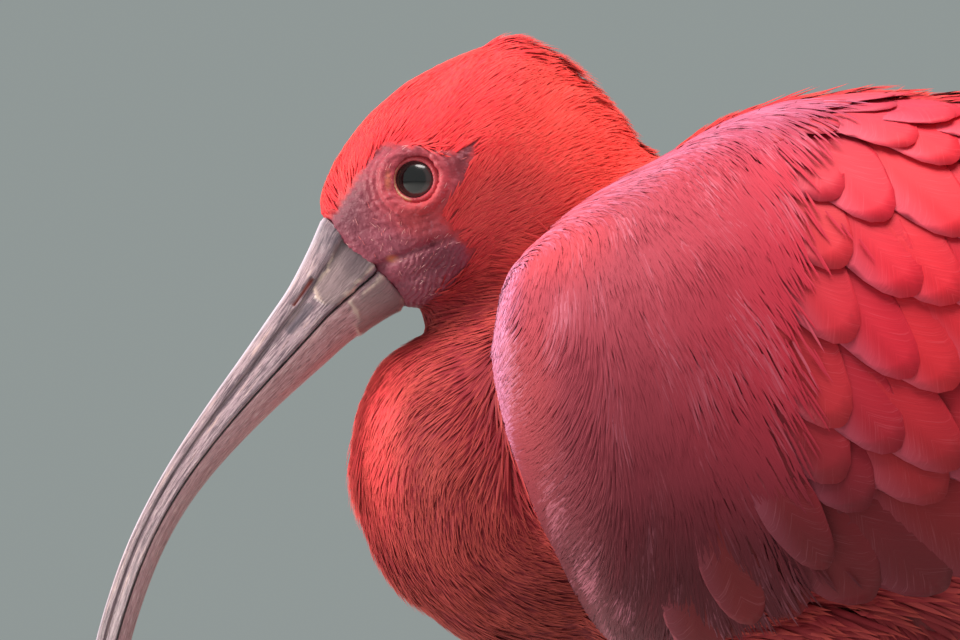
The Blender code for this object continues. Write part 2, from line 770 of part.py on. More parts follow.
neck = add_object("neck", crop(), scarlet)
sweep = add_object("sweep", neck_sweep(), None)
whole["crop"], whole["sweep"] = neck.data.copy(), sweep.data.copy()
boolean(neck, "UNION", [sweep])
wings = add_object("wings", wings_form(VANES_REACH), rose)
whole["wings"] = wings.data.copy()
bpy.data.objects.remove(wings)

bill_upper = turned_head(add_object("bill_upper", mandible(BILL_LENGTH, UPPER_OUTLINE, True), horn))
nostrils = [turned_head(add_object("nostril", nostril_cutter(side), None)) for side in (LEFT, RIGHT)]
boolean(bill_upper, "DIFFERENCE", nostrils)
lower_length = BILL_LENGTH - LOWER_STOPS_SHORT
turned_head(add_object("bill_lower", mandible(lower_length, LOWER_OUTLINE, False), horn))

clear_of(torso, "head")
clear_of(neck, "head", "torso")

tail = add_object("tail", tail_core(), rose)
vanes = [tail_vane(side, number) for number in range(TAIL_FEATHERS) for side in (LEFT, RIGHT)]
boolean(tail, "UNION", [add_object("vane", bm, None) for bm in vanes])
whole["tail"] = tail.data.copy()
clear_of(tail, "torso")

for side, word in ((LEFT, "left"), (RIGHT, "right")):
    wing = add_object(f"wing_{word}", wings_form(CORE_DEPTH), rose)
    boolean(wing, "DIFFERENCE", [add_object("cut", bm, None) for bm in (below_the_wing(), behind_the_core())])
    vanes = [wing_vane(side, row, n) for row in ROWS for n in range(row.count)]
    boolean(wing, "UNION", [add_object("vane", bm, None) for bm in vanes])
    boolean(wing, "DIFFERENCE", [add_object("cut", beyond_the_back(side), None)])
    clear_of(wing, "torso", "crop", "sweep", "head", "tail")

for side, word in ((LEFT, "left"), (RIGHT, "right")):
    hip, feathered_to = on_side(HIP, side), on_side(TIBIA_FEATHERED_TO, side)
    ankle, joint = on_side(ANKLE, side), on_side(FOOT_JOINT, side)
    thigh = add_object(f"thigh_{word}", limb(hip, feathered_to, THIGH_RADII, 14, 9), scarlet)
    whole["thigh"] = thigh.data.copy()
    clear_of(thigh, "torso", "wings")
    shank = add_object(f"shank_{word}", limb(hip.lerp(feathered_to, 0.95), ankle, SHANK_RADII, 10, 9), bare_leg)
    boolean(shank, "UNION", [add_object("ankle", ball(ANKLE_RADII, ankle, 12, 8), None)])
    whole["shank"] = shank.data.copy()
    clear_of(shank, "thigh")
    foot = add_object(f"foot_{word}", ball(FOOT_JOINT_RADII, joint, 12, 8), bare_leg)
    boolean(foot, "UNION", [add_object("toe", toe(side, *row), None) for row in TOES])
    whole["foot"] = foot.data.copy()
    add_object(f"tarsus_{word}", limb(ankle, joint, TARSUS_RADII, 10, 9), bare_leg)
    clear_of(bpy.data.objects[f"tarsus_{word}"], "shank", "foot")
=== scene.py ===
"""A scarlet ibis, life size, as a still museum model in its resting stance.

Sizes are in millimetres until a mesh is made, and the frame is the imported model's own: the bird
looks towards -X, its left side is towards -Y, and it stands on z = 0.
"""

import math

import bmesh
import bpy
import numpy as np
from mathutils import Matrix, Vector, noise
from mathutils.bvhtree import BVHTree
from mathutils.kdtree import KDTree


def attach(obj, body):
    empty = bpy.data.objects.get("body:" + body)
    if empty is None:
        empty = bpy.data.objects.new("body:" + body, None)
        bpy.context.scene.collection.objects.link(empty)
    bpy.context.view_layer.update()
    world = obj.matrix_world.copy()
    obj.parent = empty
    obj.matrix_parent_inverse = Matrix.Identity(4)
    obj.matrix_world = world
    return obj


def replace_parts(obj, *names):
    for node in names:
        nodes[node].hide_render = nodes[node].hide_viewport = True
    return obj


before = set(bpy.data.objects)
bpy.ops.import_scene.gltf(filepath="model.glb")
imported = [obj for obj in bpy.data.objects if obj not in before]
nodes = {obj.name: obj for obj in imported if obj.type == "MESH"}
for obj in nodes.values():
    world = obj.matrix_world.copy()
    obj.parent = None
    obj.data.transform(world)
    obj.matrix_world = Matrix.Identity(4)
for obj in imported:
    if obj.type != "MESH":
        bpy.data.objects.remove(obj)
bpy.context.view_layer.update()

# The skin: one hide over head, neck, body, upper arms and thighs. It is thin and soft, dull maroon
# and finely wrinkled where it is bare round the eyes and the gape, and hidden by plumage elsewhere.
MM = 0.001
LEFT, RIGHT = -1, 1
SIDES = ((LEFT, "left"), (RIGHT, "right"))
SKIN_NODES = ("head", "neck", "torso", "thigh_left", "thigh_right")
SKIN_VOXEL = 1.5
SKIN_SWELL = 0.5  # closes the gaps between the pieces of flesh before they grow into one
HEAD_TURN = math.radians(6)
HEAD_TURNS_ABOUT = np.array([-86.0, 0.0, 0.0])
EYE_CENTRE = np.array([-110.3, 8.3, 271.4])  # before the head turns, on the right side
EYE_LOOKS = np.array([-0.345, 0.938, 0.041])
# Edge of the bare face seen from the side, before the head turns: along the bird, height.
BARE_FACE = np.array([
    (-140, 262), (-128.7, 263.8), (-127.2, 264.2), (-125.9, 265.5), (-124.9, 267.7), (-123.6, 269.7),
    (-122.3, 272.6), (-120.7, 275), (-118.6, 277.5), (-116.2, 278.4), (-113.6, 278.1), (-110.7, 277.9),
    (-108, 277.3), (-106, 276.4), (-103.7, 277.2), (-101.9, 278.3), (-100.4, 278.8), (-101, 276.4),
    (-101.6, 274), (-102.7, 271.6), (-103.8, 269.3), (-104.7, 267.7), (-106.2, 266.1), (-107, 264.6),
    (-106.2, 263), (-104.9, 261.4), (-102.8, 259.4), (-101.4, 257.6), (-101.5, 255.8), (-103.2, 252.8),
    (-105.8, 250.2), (-108.8, 247.9), (-111.5, 246.6), (-113, 243), (-119, 240), (-140, 240),
])
# Places on the head where the skin is gathered: start, end, depth and width of each crease.
CREASES = [
    ((-119.5, 254.4), (-108.4, 259.4), 0.9, 0.8),
    ((-108.4, 259.4), (-103.0, 261.2), 0.6, 1.0),
    ((-122.0, 262.0), (-112.0, 262.6), 0.30, 0.9),
    ((-117.0, 250.6), (-106.5, 255.4), 0.30, 0.9),
    ((-118.4, 276.4), (-113.6, 277.4), 0.35, 0.8),
    ((-104.5, 272.0), (-101.5, 277.0), 0.30, 0.8),
]
BROW = ((-130.0, 0.0, 266.0), 9.0, 1.1)  # middle, reach and swell of the forehead above the bill
JAW = ((-106.5, 252.5), 11.0)  # middle and reach of the fine folds that run down the jaw
# Rings of the bare skin round the eye: radius, width, rise.
EYE_RINGS = [(5.9, 0.9, 0.55), (7.3, 0.42, -0.30), (8.7, 0.42, -0.22), (10.0, 0.42, -0.15)]
# Coat depth: how far the skin lies below the outside of each part.
COAT = {"head": 1.0, "neck": 1.6, "torso": 2.6, "thigh": 1.9, "arm": 4.6}
FAR_FROM_FLESH, ARM_SINKS = 1.2, 0.3  # skin farther off than this is an upper arm's, and sinks by this


def smooth(table, keys):
    """Columns of a station table at many keys, along a smooth curve through its rows."""
    table = np.asarray(table, float)
    at, rows = table[:, 0], table[:, 1:]
    slopes = np.empty_like(rows)
    slopes[1:-1] = (rows[2:] - rows[:-2]) / (at[2:] - at[:-2])[:, None]
    slopes[0] = (rows[1] - rows[0]) / (at[1] - at[0])
    slopes[-1] = (rows[-1] - rows[-2]) / (at[-1] - at[-2])
    keys = np.clip(np.asarray(keys, float), at[0], at[-1])
    low = np.clip(np.searchsorted(at, keys, side="right") - 1, 0, len(at) - 2)
    span = at[low + 1] - at[low]
    t = ((keys - at[low]) / span)[..., None]
    span = span[..., None]
    start, end = rows[low], rows[low + 1]
    return (
        start * (2 * t**3 - 3 * t**2 + 1)
        + end * (3 * t**2 - 2 * t**3)
        + slopes[low] * span * (t**3 - 2 * t**2 + t)
        + slopes[low + 1] * span * (t**3 - t**2)
    )


def eased(value, low, high):
    """Rises softly from 0 to 1 as the value goes from low to high."""
    t = np.clip((value - low) / (high - low), 0, 1)
    return t * t * (3 - 2 * t)


def unit(vectors):
    return vectors / np.maximum(np.linalg.norm(vectors, axis=-1, keepdims=True), 1e-9)


def turned(points, angle=HEAD_TURN):
    """Points of the head once it has turned towards the bird's left."""
    cos, sin = math.cos(angle), math.sin(angle)
    turn = np.array([[cos, -sin, 0], [sin, cos, 0], [0, 0, 1]])
    return (np.asarray(points) - HEAD_TURNS_ABOUT) @ turn.T + HEAD_TURNS_ABOUT


def straight(points):
    """Points of the turned head as they lie when it looks straight ahead."""
    return turned(points, -HEAD_TURN)


def from_line(points, start, end):
    """How far points lie from a line between two places, and their share of the way along it."""
    run = np.subtract(end, start)
    share = np.clip(((points - start) @ run) / (run @ run), 0, 1)
    return np.linalg.norm(points - start - share[:, None] * run, axis=1), share


def round_the_eye(points, side):
    """How far points of the straight head lie in front of an eye's centre and from its middle line."""
    looks = EYE_LOOKS * (1, side, 1)
    away = points - EYE_CENTRE * (1, side, 1)
    ahead = away @ looks
    return ahead, np.linalg.norm(away - ahead[:, None] * looks, axis=1)


def depth_inside(points, outline):
    """How far points lie inside an outline in a plane, below zero outside it."""
    ends = np.roll(outline, -1, axis=0)
    edge = ends - outline
    away = points[:, None] - outline[None]
    share = np.clip((away * edge).sum(2) / (edge**2).sum(1), 0, 1)
    distance = np.linalg.norm(away - share[..., None] * edge, axis=2).min(1)
    x, z = points[:, :1], points[:, 1:]
    rising = (outline[:, 1] > z) != (ends[:, 1] > z)
    slope = edge[:, 0] / np.where(edge[:, 1] == 0, 1e-9, edge[:, 1])
    crossed = rising & (x < outline[:, 0] + (z - outline[:, 1]) * slope)
    return np.where(crossed.sum(1) % 2 == 1, distance, -distance)


def bareness(points):
    """0 under plumage and 1 on the bare face, for points of the finished bird."""
    level = straight(points)
    inside = depth_inside(level[:, [0, 2]], BARE_FACE)
    ragged = 0.5 * np.sin(level[:, 0] * 2.1 + level[:, 2] * 1.3) * np.sin(level[:, 2] * 2.7)
    on_head = (level[:, 0] < -98) & (level[:, 2] > 243)
    return np.clip((inside + ragged + 0.6) / 1.4, 0, 1) * on_head


# Outside of the folded wings: place along the bird, upper edge, lower edge, half width.
WINGS = [
    (-95.4, 238.9, 238.1, 36),
    (-93.4, 252, 225, 42),
    (-88.5, 260, 209, 47),
    (-82.8, 265.5, 197, 50.5),
    (-75, 271.8, 185, 53),
    (-67.6, 277, 180.5, 54.5),
    (-56, 285.5, 177, 55.5),
    (-41, 291, 177, 55.5),
    (-24, 293, 180, 55),
    (1, 292, 187, 52),
    (29, 284, 196, 46.5),
    (58, 267.5, 205, 38),
    (77, 255.5, 210.5, 31.5),
    (96, 244, 216.5, 27.5),
    (115, 232, 215, 23.5),
    (134, 220, 208, 18),
    (153, 208, 201.5, 12),
    (162, 202, 199, 6),
]
WING_SQUARENESS = (2.3, 2.6)  # above and below the middle, where 2 would be an ellipse
BACK_SHOWS = [(-200, 20), (-45, 20), (-15, 13), (25, 2), (260, 2)]
WING_LOWER_EDGE = [(-200, 183), (-74, 183), (-60, 190), (-24, 200), (29, 213), (77, 222), (260, 222)]
ARM_STARTS, ARM_LENGTH = -94, 190  # along the bird


def wing_place(x, turn, side):
    """Points on the outside of the folded wings, where turn is 90 on top and 0 at the side."""
    upper, lower, half_width = np.moveaxis(smooth(WINGS, x), -1, 0)
    across, rise = np.cos(np.radians(turn)), np.sin(np.radians(turn))
    power = np.where(rise > 0, *WING_SQUARENESS)
    stretch = (np.abs(across) ** power + np.abs(rise) ** power) ** (-1 / power)
    height = (upper + lower) / 2 + (upper - lower) / 2 * rise * stretch
    return np.stack([x + 0 * height, side * half_width * across * stretch, height], axis=-1)


def wing_frame(x, turn, side):
    """Points on the wings' outside with outward and downward directions, and scales."""
    place = wing_place(x, turn, side)
    by_x = (wing_place(x + 0.5, turn, side) - place) / 0.5
    by_turn = (wing_place(x, turn - 0.5, side) - place) / 0.5
    back = unit(by_x)
    skew = (by_turn * back).sum(-1)
    down = by_turn - back * skew[..., None]
    out = np.cross(back, unit(down)) * side
    return place, out, np.linalg.norm(by_x, axis=-1), np.linalg.norm(down, axis=-1), skew


def upper_arm(side):
    """The flesh of a folded wing, well under its feathers."""
    bm = bmesh.new()
    bmesh.ops.create_grid(bm, x_segments=40, y_segments=36, size=1)
    for v in bm.verts:
        x, turn = np.array([ARM_STARTS + ARM_LENGTH * (v.co.x + 1) / 2]), np.array([180 * v.co.y])
        place, out = [part[0] for part in wing_frame(x, turn, side)[:2]]
        sunk = place - out * np.array([0, 1, 1]) * COAT["arm"]
        sunk[1] = side * max(side * sunk[1], smooth(BACK_SHOWS, x)[0, 0] + 2)
        sunk[2] = max(sunk[2], smooth(WING_LOWER_EDGE, x)[0, 0] + 2)
        v.co = sunk * MM
    bmesh.ops.remove_doubles(bm, verts=bm.verts, dist=1e-6)
    bmesh.ops.holes_fill(bm, edges=[e for e in bm.edges if e.is_boundary])
    bmesh.ops.recalc_face_normals(bm, faces=bm.faces)
    return bm


def in_scene(name, data):
    """A new object in the scene, at the origin."""
    made = bpy.data.objects.new(name, data)
    bpy.context.scene.collection.objects.link(made)
    return made


def new_piece(name, bm):
    """A shown object made of a bmesh in metres."""
    mesh = bpy.data.meshes.new(name)
    bm.to_mesh(mesh)
    bm.free()
    mesh.shade_smooth()
    return in_scene(name, mesh)


def read(items, key, width=3, kind=np.float32):
    """A row of values for each corner, face or loop of a mesh."""
    found = np.empty(len(items) * width, kind)
    items.foreach_get(key, found)
    return found.reshape(-1, width)


def shape_of(mesh):
    """Places of a mesh's corners in millimetres, and the way each one faces."""
    return read(mesh.vertices, "co").astype(float) / MM, read(mesh.vertex_normals, "vector").astype(float)


def place_vertices(mesh, points):
    mesh.vertices.foreach_set("co", np.asarray(points * MM, np.float32).ravel())
    mesh.update()


def marked(mesh, **values):
    """Gives the corners of a mesh values for its material or its coat to follow."""
    for key, value in values.items():
        mesh.attributes.new(key, "FLOAT", "POINT").data.foreach_set("value", np.asarray(value, np.float32))


def relaxed(bm, times):
    for _ in range(times):
        bmesh.ops.smooth_vert(
            bm, verts=bm.verts, factor=0.5, use_axis_x=True, use_axis_y=True, use_axis_z=True,
        )


flesh, forms = bmesh.new(), []


def grow_in(part):
    """Joins a piece of flesh to the rest."""
    grown = bpy.data.meshes.new("flesh")
    part.to_mesh(grown)
    part.free()
    flesh.from_mesh(grown)
    bpy.data.meshes.remove(grown)


for name in SKIN_NODES:
    part = bmesh.new()
    part.from_mesh(nodes[name].data)
    bmesh.ops.remove_doubles(part, verts=part.verts, dist=1e-6)
    part.normal_update()
    forms.append(BVHTree.FromBMesh(part))
    for v, step in [(v, v.normal * SKIN_SWELL * MM) for v in part.verts]:
        v.co += step
    grow_in(part)
for side in (LEFT, RIGHT):
    grow_in(upper_arm(side))
skin = new_piece("skin", flesh)
remesh = skin.modifiers.new("one hide", "REMESH")
remesh.mode = "VOXEL"
remesh.voxel_size = SKIN_VOXEL * MM
hide = bpy.data.meshes.new_from_object(skin.evaluated_get(bpy.context.evaluated_depsgraph_get()))
skin.modifiers.clear()
skin.data = hide

bm = bmesh.new()
bm.from_mesh(hide)
relaxed(bm, 4)
bm.to_mesh(hide)
bm.free()

places, facing = shape_of(hide)
reach = np.array([[form.find_nearest(Vector(p * MM))[3] for p in places] for form in forms])
nearest, far_from_flesh = reach.argmin(0), reach.min(0) > FAR_FROM_FLESH * MM
sink = np.array([COAT[name.split("_")[0]] for name in SKIN_NODES])[nearest] + SKIN_SWELL
sink[far_from_flesh] = ARM_SINKS
bared = bareness(places)
sink = np.where(bared > 0, SKIN_SWELL + (sink - SKIN_SWELL) * (1 - bared), sink)
place_vertices(hide, places - facing * sink[:, None])
for key in COAT:
    shares = [(nearest == n) & ~far_from_flesh for n, name in enumerate(SKIN_NODES) if name.startswith(key)]
    marked(hide, **{key: np.any(shares, axis=0) if shares else far_from_flesh})

bm = bmesh.new()
bm.from_mesh(hide)
relaxed(bm, 3)
for _ in range(2):
    bare = bareness(np.array([v.co for v in bm.verts]) / MM)
    close = {v for v, share in zip(bm.verts, bare) if share > 0}
    edges = [e for e in bm.edges if e.verts[0] in close or e.verts[1] in close]
    bmesh.ops.subdivide_edges(bm, edges=edges, cuts=1, use_grid_fill=True, smooth=0.6)
bmesh.ops.triangulate(bm, faces=[f for f in bm.faces if len(f.verts) != 4])
bm.to_mesh(hide)
bm.free()

places, facing = shape_of(hide)
bare, level = bareness(places), straight(places)
seen_flat = level[:, [0, 2]]
lift = np.zeros(len(places))
for start, end, depth, width in CREASES:
    away, share = from_line(seen_flat, start, end)
    lift -= depth * np.exp(-((away / width) ** 2)) * np.where(share < 1, 1, 0.6)
for side in (LEFT, RIGHT):
    ahead, radius = round_the_eye(level, side)
    near = np.clip((ahead - 1) / 1.5, 0, 1)
    for ring, width, rise in EYE_RINGS:
        lift += near * rise * np.exp(-(((radius - ring) / width) ** 2))
for n in np.flatnonzero(bare > 0.02):
    spot = Vector(level[n])
    fine = abs(noise.noise(Vector((spot.x * 0.55, spot.y * 0.5, spot.z * 1.25)))) * 2 - 0.5
    pores = noise.noise(spot * 2.2)
    on_jaw = 1 - eased(math.dist(seen_flat[n], JAW[0]), 0.5 * JAW[1], JAW[1])
    swing = 2.2 * noise.noise(spot * 0.25) + 0.7 * noise.noise(spot * 0.8)
    folds = math.sin((spot.x * 0.92 - spot.z * 0.38) * 6.6 + 2.4 * swing)
    lift[n] += bare[n] * ((0.20 - 0.1 * on_jaw) * fine + 0.10 * pores + 0.16 * on_jaw * folds)
from_brow = np.linalg.norm(level - BROW[0], axis=1)
swell = BROW[2] * (1 - eased(from_brow, 0.3 * BROW[1], BROW[1])) * (1 - bare)
place_vertices(hide, places + facing * (lift * np.maximum(bare, 0.25) + swell)[:, None])
marked(hide, bare=bareness(shape_of(hide)[0]))

bpy.context.view_layer.objects.active = skin
skin.select_set(True)
bpy.ops.object.mode_set(mode="EDIT")
bpy.ops.mesh.select_all(action="SELECT")
bpy.ops.uv.smart_project(angle_limit=math.radians(66), island_margin=0.002)
bpy.ops.object.mode_set(mode="OBJECT")
skin.select_set(False)
hide.uv_layers.active.name = "OFBake"
hide.shade_smooth()


def linear(hex_colour):
    """Linear channels of an sRGB hex colour."""
    channels = [int(hex_colour[n : n + 2], 16) / 255 for n in (0, 2, 4)]
    return (*[c / 12.92 if c <= 0.04045 else ((c + 0.055) / 1.055) ** 2.4 for c in channels], 1)


def plug(tree, made, links):
    """Links a node's inputs to sockets, or sets them to values."""
    for key, value in dict(links).items():
        if isinstance(value, bpy.types.NodeSocket):
            tree.links.new(value, made.inputs[key])
        else:
            made.inputs[key].default_value = value


def node(tree, kind, links=(), out=0, **settings):
    """Adds a node with its settings and links, and gives one of its outputs."""
    made = tree.nodes.new("ShaderNode" + kind)
    for name, value in settings.items():
        setattr(made, name, value)
    plug(tree, made, links)
    return made.outputs[out]


def new_material(name, *marks):
    """A material with only its shader, and sockets for places on the object and for its marks."""
    made = bpy.data.materials.new(name)
    made.use_nodes = True
    tree = made.node_tree
    place = node(tree, "TexCoord", out="Object")
    follows = [node(tree, "Attribute", out="Fac", attribute_name=mark) for mark in marks]
    return made, tree, tree.nodes["Principled BSDF"], place, *follows


def layered(tree, colour, layers):
    """Lays colours over one another. Each has the value it follows, where that starts and ends,
    and how much of the colour shows there."""
    for value, low, high, start, end, over in layers:
        span = {0: value, 1: low, 2: high, 3: start, 4: end}
        share = node(tree, "MapRange", span, interpolation_type="SMOOTHSTEP")
        colour = node(tree, "Mix", {0: share, 6: colour, 7: linear(over)}, 2, data_type="RGBA")
    return colour


def from_middle(tree, place, middle, sizes):
    """How far a place lies from the middle of a patch, where 1 is its edge."""
    moved = node(tree, "VectorMath", {0: place, 1: [c * MM for c in middle]}, operation="SUBTRACT")
    scaled = node(tree, "VectorMath", {0: moved, 1: [s * MM for s in sizes]}, operation="DIVIDE")
    return node(tree, "VectorMath", {0: scaled}, "Value", operation="LENGTH")


def patches_at(tree, place, patches, low, high):
    """Layers that lay each patch of a table over its middle."""
    return [
        (from_middle(tree, place, middle, sizes), low, high, strength, 0.0, colour)
        for middle, sizes, colour, strength in patches
    ]


# Carotenoid reds of the plumage, with painted light and shade laid over them: middle of each patch,
# its half sizes, colour, strength.
PLUMAGE_REDS_AND_PAINTED_LIGHT = [
    # painted shade: the flank and the lower body darker
    ((20, 0, 178), (150, 90, 34), "642227", 0.85),
    ((-20, 0, 298), (70, 60, 16), "C01C2C", 0.9),
    ((-95, 0, 270), (44, 60, 40), "EC343A", 1.0),
    # painted light: the crown and the nape brighter
    ((-104, 0, 297), (46, 60, 22), "FF3842", 0.95),
    ((-76, 0, 281), (20, 60, 22), "FF443E", 0.9),
    # painted shade: the cheek, the throat and the middle of the crop darker
    ((-93, 0, 264), (17, 60, 14), "C04244", 0.8),
    ((-106, 0, 251), (15, 60, 10), "943638", 0.75),
    ((-103, 0, 216), (23, 60, 42), "701C26", 0.85),
    # painted light: a glowing front edge of the crop
    ((-123, 0, 216), (11, 60, 42), "FF4A50", 0.9),
    # painted shade: the side of the crop, the lower crop and the low front darker
    ((-94, 0, 236), (15, 60, 15), "82242E", 0.85),
    ((-97, 0, 194), (34, 60, 24), "7A1E28", 0.8),
    ((-80, 0, 186), (26, 60, 18), "5A161C", 0.85),
]


def plumage_colour_and_painted_light(tree, place):
    """The red of the plumage at a place on the bird with its painted light and shade, the same on skin and
    feathers.
    """
    return layered(tree, linear("D03440"), patches_at(tree, place, PLUMAGE_REDS_AND_PAINTED_LIGHT, 0.35, 1.35))


# Bare skin: maroon, redder round the eye, darker in the folds, with paler scurf. Its blotches
# are about 9 mm across, its scurf 1 mm and the cells of its bump 0.7 mm, which gives a dull grain.
SKIN_PATCHES = [
    ((-119, 0, 270), (8, 60, 8), "A84350", 0.8),
    ((-109, 0, 271.5), (10, 60, 9), "C4424C", 0.9),
    ((-107.5, 0, 264.5), (8, 60, 6), "B43A3E", 0.85),
    ((-123, 0, 266.5), (5.5, 60, 6.5), "6A3042", 0.75),
    ((-115.4, 0, 271.4), (0.7, 60, 2.2), "E4845C", 0.55),
    ((-114.6, 0, 256.6), (1.3, 60, 0.8), "C87850", 0.8),
    ((-100.5, 0, 274.5), (4.5, 60, 5), "7E2C36", 0.9),
    ((-112, 0, 279), (9, 60, 2.4), "86303A", 0.8),
    ((-103.5, 0, 262.5), (5.5, 60, 3.0), "B8505A", 0.7),
    ((-104, 0, 256), (6, 60, 5), "7A3848", 0.8),
    ((-110, 0, 250), (9, 60, 5), "8C4A5A", 0.7),
]
bare_skin, tree, shader, place, bared = new_material("wrinkled_bare_skin", "bare")
wide = node(tree, "TexNoise", {"Vector": place, "Scale": 110.0, "Detail": 3.0})
fine = node(tree, "TexNoise", {"Vector": place, "Scale": 900.0, "Detail": 2.0})
face_colour = layered(tree, linear("964658"), patches_at(tree, place, SKIN_PATCHES, 0.3, 1.3) + [
    (wide, 0.42, 0.62, 0.3, 0.0, "5F2C3A"),
    (fine, 0.56, 0.72, 0.0, 0.4, "B8707C"),
])
hidden = {0: 0.35, 6: plumage_colour_and_painted_light(tree, place), 7: linear("5A1218")}
hidden = node(tree, "Mix", hidden, 2, data_type="RGBA")
shown = node(tree, "Mix", {0: bared, 6: hidden, 7: face_colour}, 2, data_type="RGBA")
cells = node(tree, "TexVoronoi", {"Vector": place, "Scale": 1400.0}, feature="DISTANCE_TO_EDGE")
bump = node(tree, "Bump", {"Height": cells, "Distance": 0.0002, "Strength": 0.5})
plug(tree, shader, {"Base Color": shown, "Roughness": 0.58, "Specular IOR Level": 0.35, "Normal": bump})
hide.materials.clear()
hide.materials.append(bare_skin)
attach(skin, "root")
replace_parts(skin, *SKIN_NODES)


# Body plumage: narrow, loose-webbed feathers, like coarse silk, that lie along the body from the
# bill backwards. Each is a three-sided sliver bent to the skin, with its tip lifted off it.
SLIVER_STATIONS = np.array([0.0, 0.36, 0.74, 1.0])
SLIVER_WIDTHS = np.array([0.6, 1.0, 0.74, 0.0])
SLIVER_RISES = np.array([-0.3, 0.34, 0.70, 1.0])  # share of the tip's lift
SLIVER_HEIGHT = 0.25  # of a feather's width
MOST_BEND = 0.4  # cosine between root and tip: feathers that would bend more are left out
SLIVER_ROUNDS = 1.0  # how much its shading turns from one edge to the other
# On each part of the body: feathers in a square millimetre, length, width, lift of the tip.
FEATHERING = {
    "head": (5.2, 7.0, 0.42, 0.9),
    "neck": (3.0, 11.0, 0.60, 1.35),
    "torso": (0.40, 17.0, 1.5, 2.1),
    "thigh": (0.95, 10.5, 1.0, 1.4),
    "arm": (0.36, 10.0, 1.4, 0.9),
}
BREAST = (-78.0, -52.0)  # where the finer feathers of the breast give way to the body's
BREAST_FINER = (0.35, 0.5, 0.3)  # shares by which they are shorter, narrower and flatter
FACE_LENGTH = 4.2  # of the feathers next to the bare face
FACE_REACH = 14.0  # how far back the short ones go
UNDER_WING = 5.0  # how far the coat runs on below the wing's edge
# Where the plumage stands up: its part, middle, reach, extra share of length, extra lift.
RAISED = [
    ("head", (-77, 0, 291), 22, 0.35, 2.3),
    ("head", (-93, 0, 299), 12, 0.3, 2.4),
    ("head", (-128, 0, 268), 9, 0.1, 0.5),
    ("neck", (-122, 0, 228), 10, 0.5, 1.6),
    ("neck", (-122, 0, 207), 10, 0.4, 1.6),
    ("torso", (-44, 0, 291), 22, 0.2, 3.6),
    ("torso", (-18, 0, 294), 24, 0.2, 3.2),
    ("torso", (12, 0, 292), 26, 0.2, 1.8),
]
HIP, KNEE_END = np.array([-36.0, 23.0, 200.0]), np.array([-7.0, 26.0, 147.0])
CROP_TURNS_ABOUT = np.array([-89.0, 0.0, 214.0])
NAPE_LIES = np.array([0.85, 0.0, -0.5])
draws = np.random.default_rng(20)


def spread(count, most=2.0):
    """Seeded numbers scattered about 0, none beyond most."""
    return draws.standard_normal(count).clip(-most, most)


def varied(values, share):
    """Values that each differ a little, by about this share of their size."""
    return values * (1 + share * spread(len(values)))


def waver(points, size, seed=0.0):
    """Smooth wandering values between -1 and 1, with swells about size across."""
    x, y, z = (np.asarray(points) * (2.2 / size)).T
    first = np.sin(1.7 * x + 1.3 * np.sin(1.1 * y + seed) + seed)
    second = np.sin(1.9 * z + 1.5 * np.sin(0.8 * x + 2 * seed))
    return (first + second + np.sin(2.1 * y + 1.2 * np.sin(1.3 * z + 3 * seed))) / 3


def lie_of_coat(points, parts):
    """Direction in which the feathers lie at points of the finished bird."""
    level = straight(points)
    share = eased(level[:, 2:], 270, 290)
    source = np.array([-112, 0, 255]) * (1 - share) + np.array([-130, 0, 262]) * share
    over_head = turned(level + unit(level - source)) - points
    around = points - CROP_TURNS_ABOUT
    over_neck = unit(np.stack([-around[:, 2], 0.25 * around[:, 1], around[:, 0]], axis=1))
    behind = eased(points[:, 2:], 254, 266) * eased(points[:, :1], -94, -84)
    over_neck += (NAPE_LIES - over_neck) * behind
    over_body = np.tile([1.0, 0.0, -0.10], (len(points), 1))
    down_thigh = np.tile(KNEE_END - HIP, (len(points), 1))
    down_thigh[:, 1] *= np.sign(points[:, 1])
    found = unit(over_head) * parts["head"][:, None] + unit(over_neck) * parts["neck"][:, None]
    found += over_body * (parts["torso"] + parts["arm"])[:, None]
    return unit(found + unit(down_thigh) * parts["thigh"][:, None])


def sliver():
    """A three-sided sliver cut at its stations: across, up and station of each corner, triangles."""
    bm = bmesh.new()
    bmesh.ops.create_cone(bm, cap_ends=True, segments=3, radius1=1, radius2=0, depth=1)
    bmesh.ops.remove_doubles(bm, verts=bm.verts, dist=1e-5)
    for share in SLIVER_STATIONS[1:-1]:
        geom = bm.verts[:] + bm.edges[:] + bm.faces[:]
        bmesh.ops.bisect_plane(bm, geom=geom, plane_co=(0, 0, share - 0.5), plane_no=(0, 0, 1))
    bmesh.ops.triangulate(bm, faces=bm.faces)
    bmesh.ops.recalc_face_normals(bm, faces=bm.faces)
    bm.verts.index_update()
    corners = np.array([v.co for v in bm.verts])
    station = np.abs(corners[:, 2:] + 0.5 - SLIVER_STATIONS).argmin(1)
    away = np.linalg.norm(corners[:, :2], axis=1)
    turn = np.arctan2(corners[:, 1], corners[:, 0])
    turn -= turn[station == 0].min()
    across, up = np.sin(turn) / 1.732, (np.cos(turn) + 0.5) / 1.5
    across[away < 1e-3], up[away < 1e-3] = 0, 0
    triangles = np.array([[v.index for v in f.verts] for f in bm.faces])
    bm.free()
    return across, up, station, triangles


SLIVER = sliver()


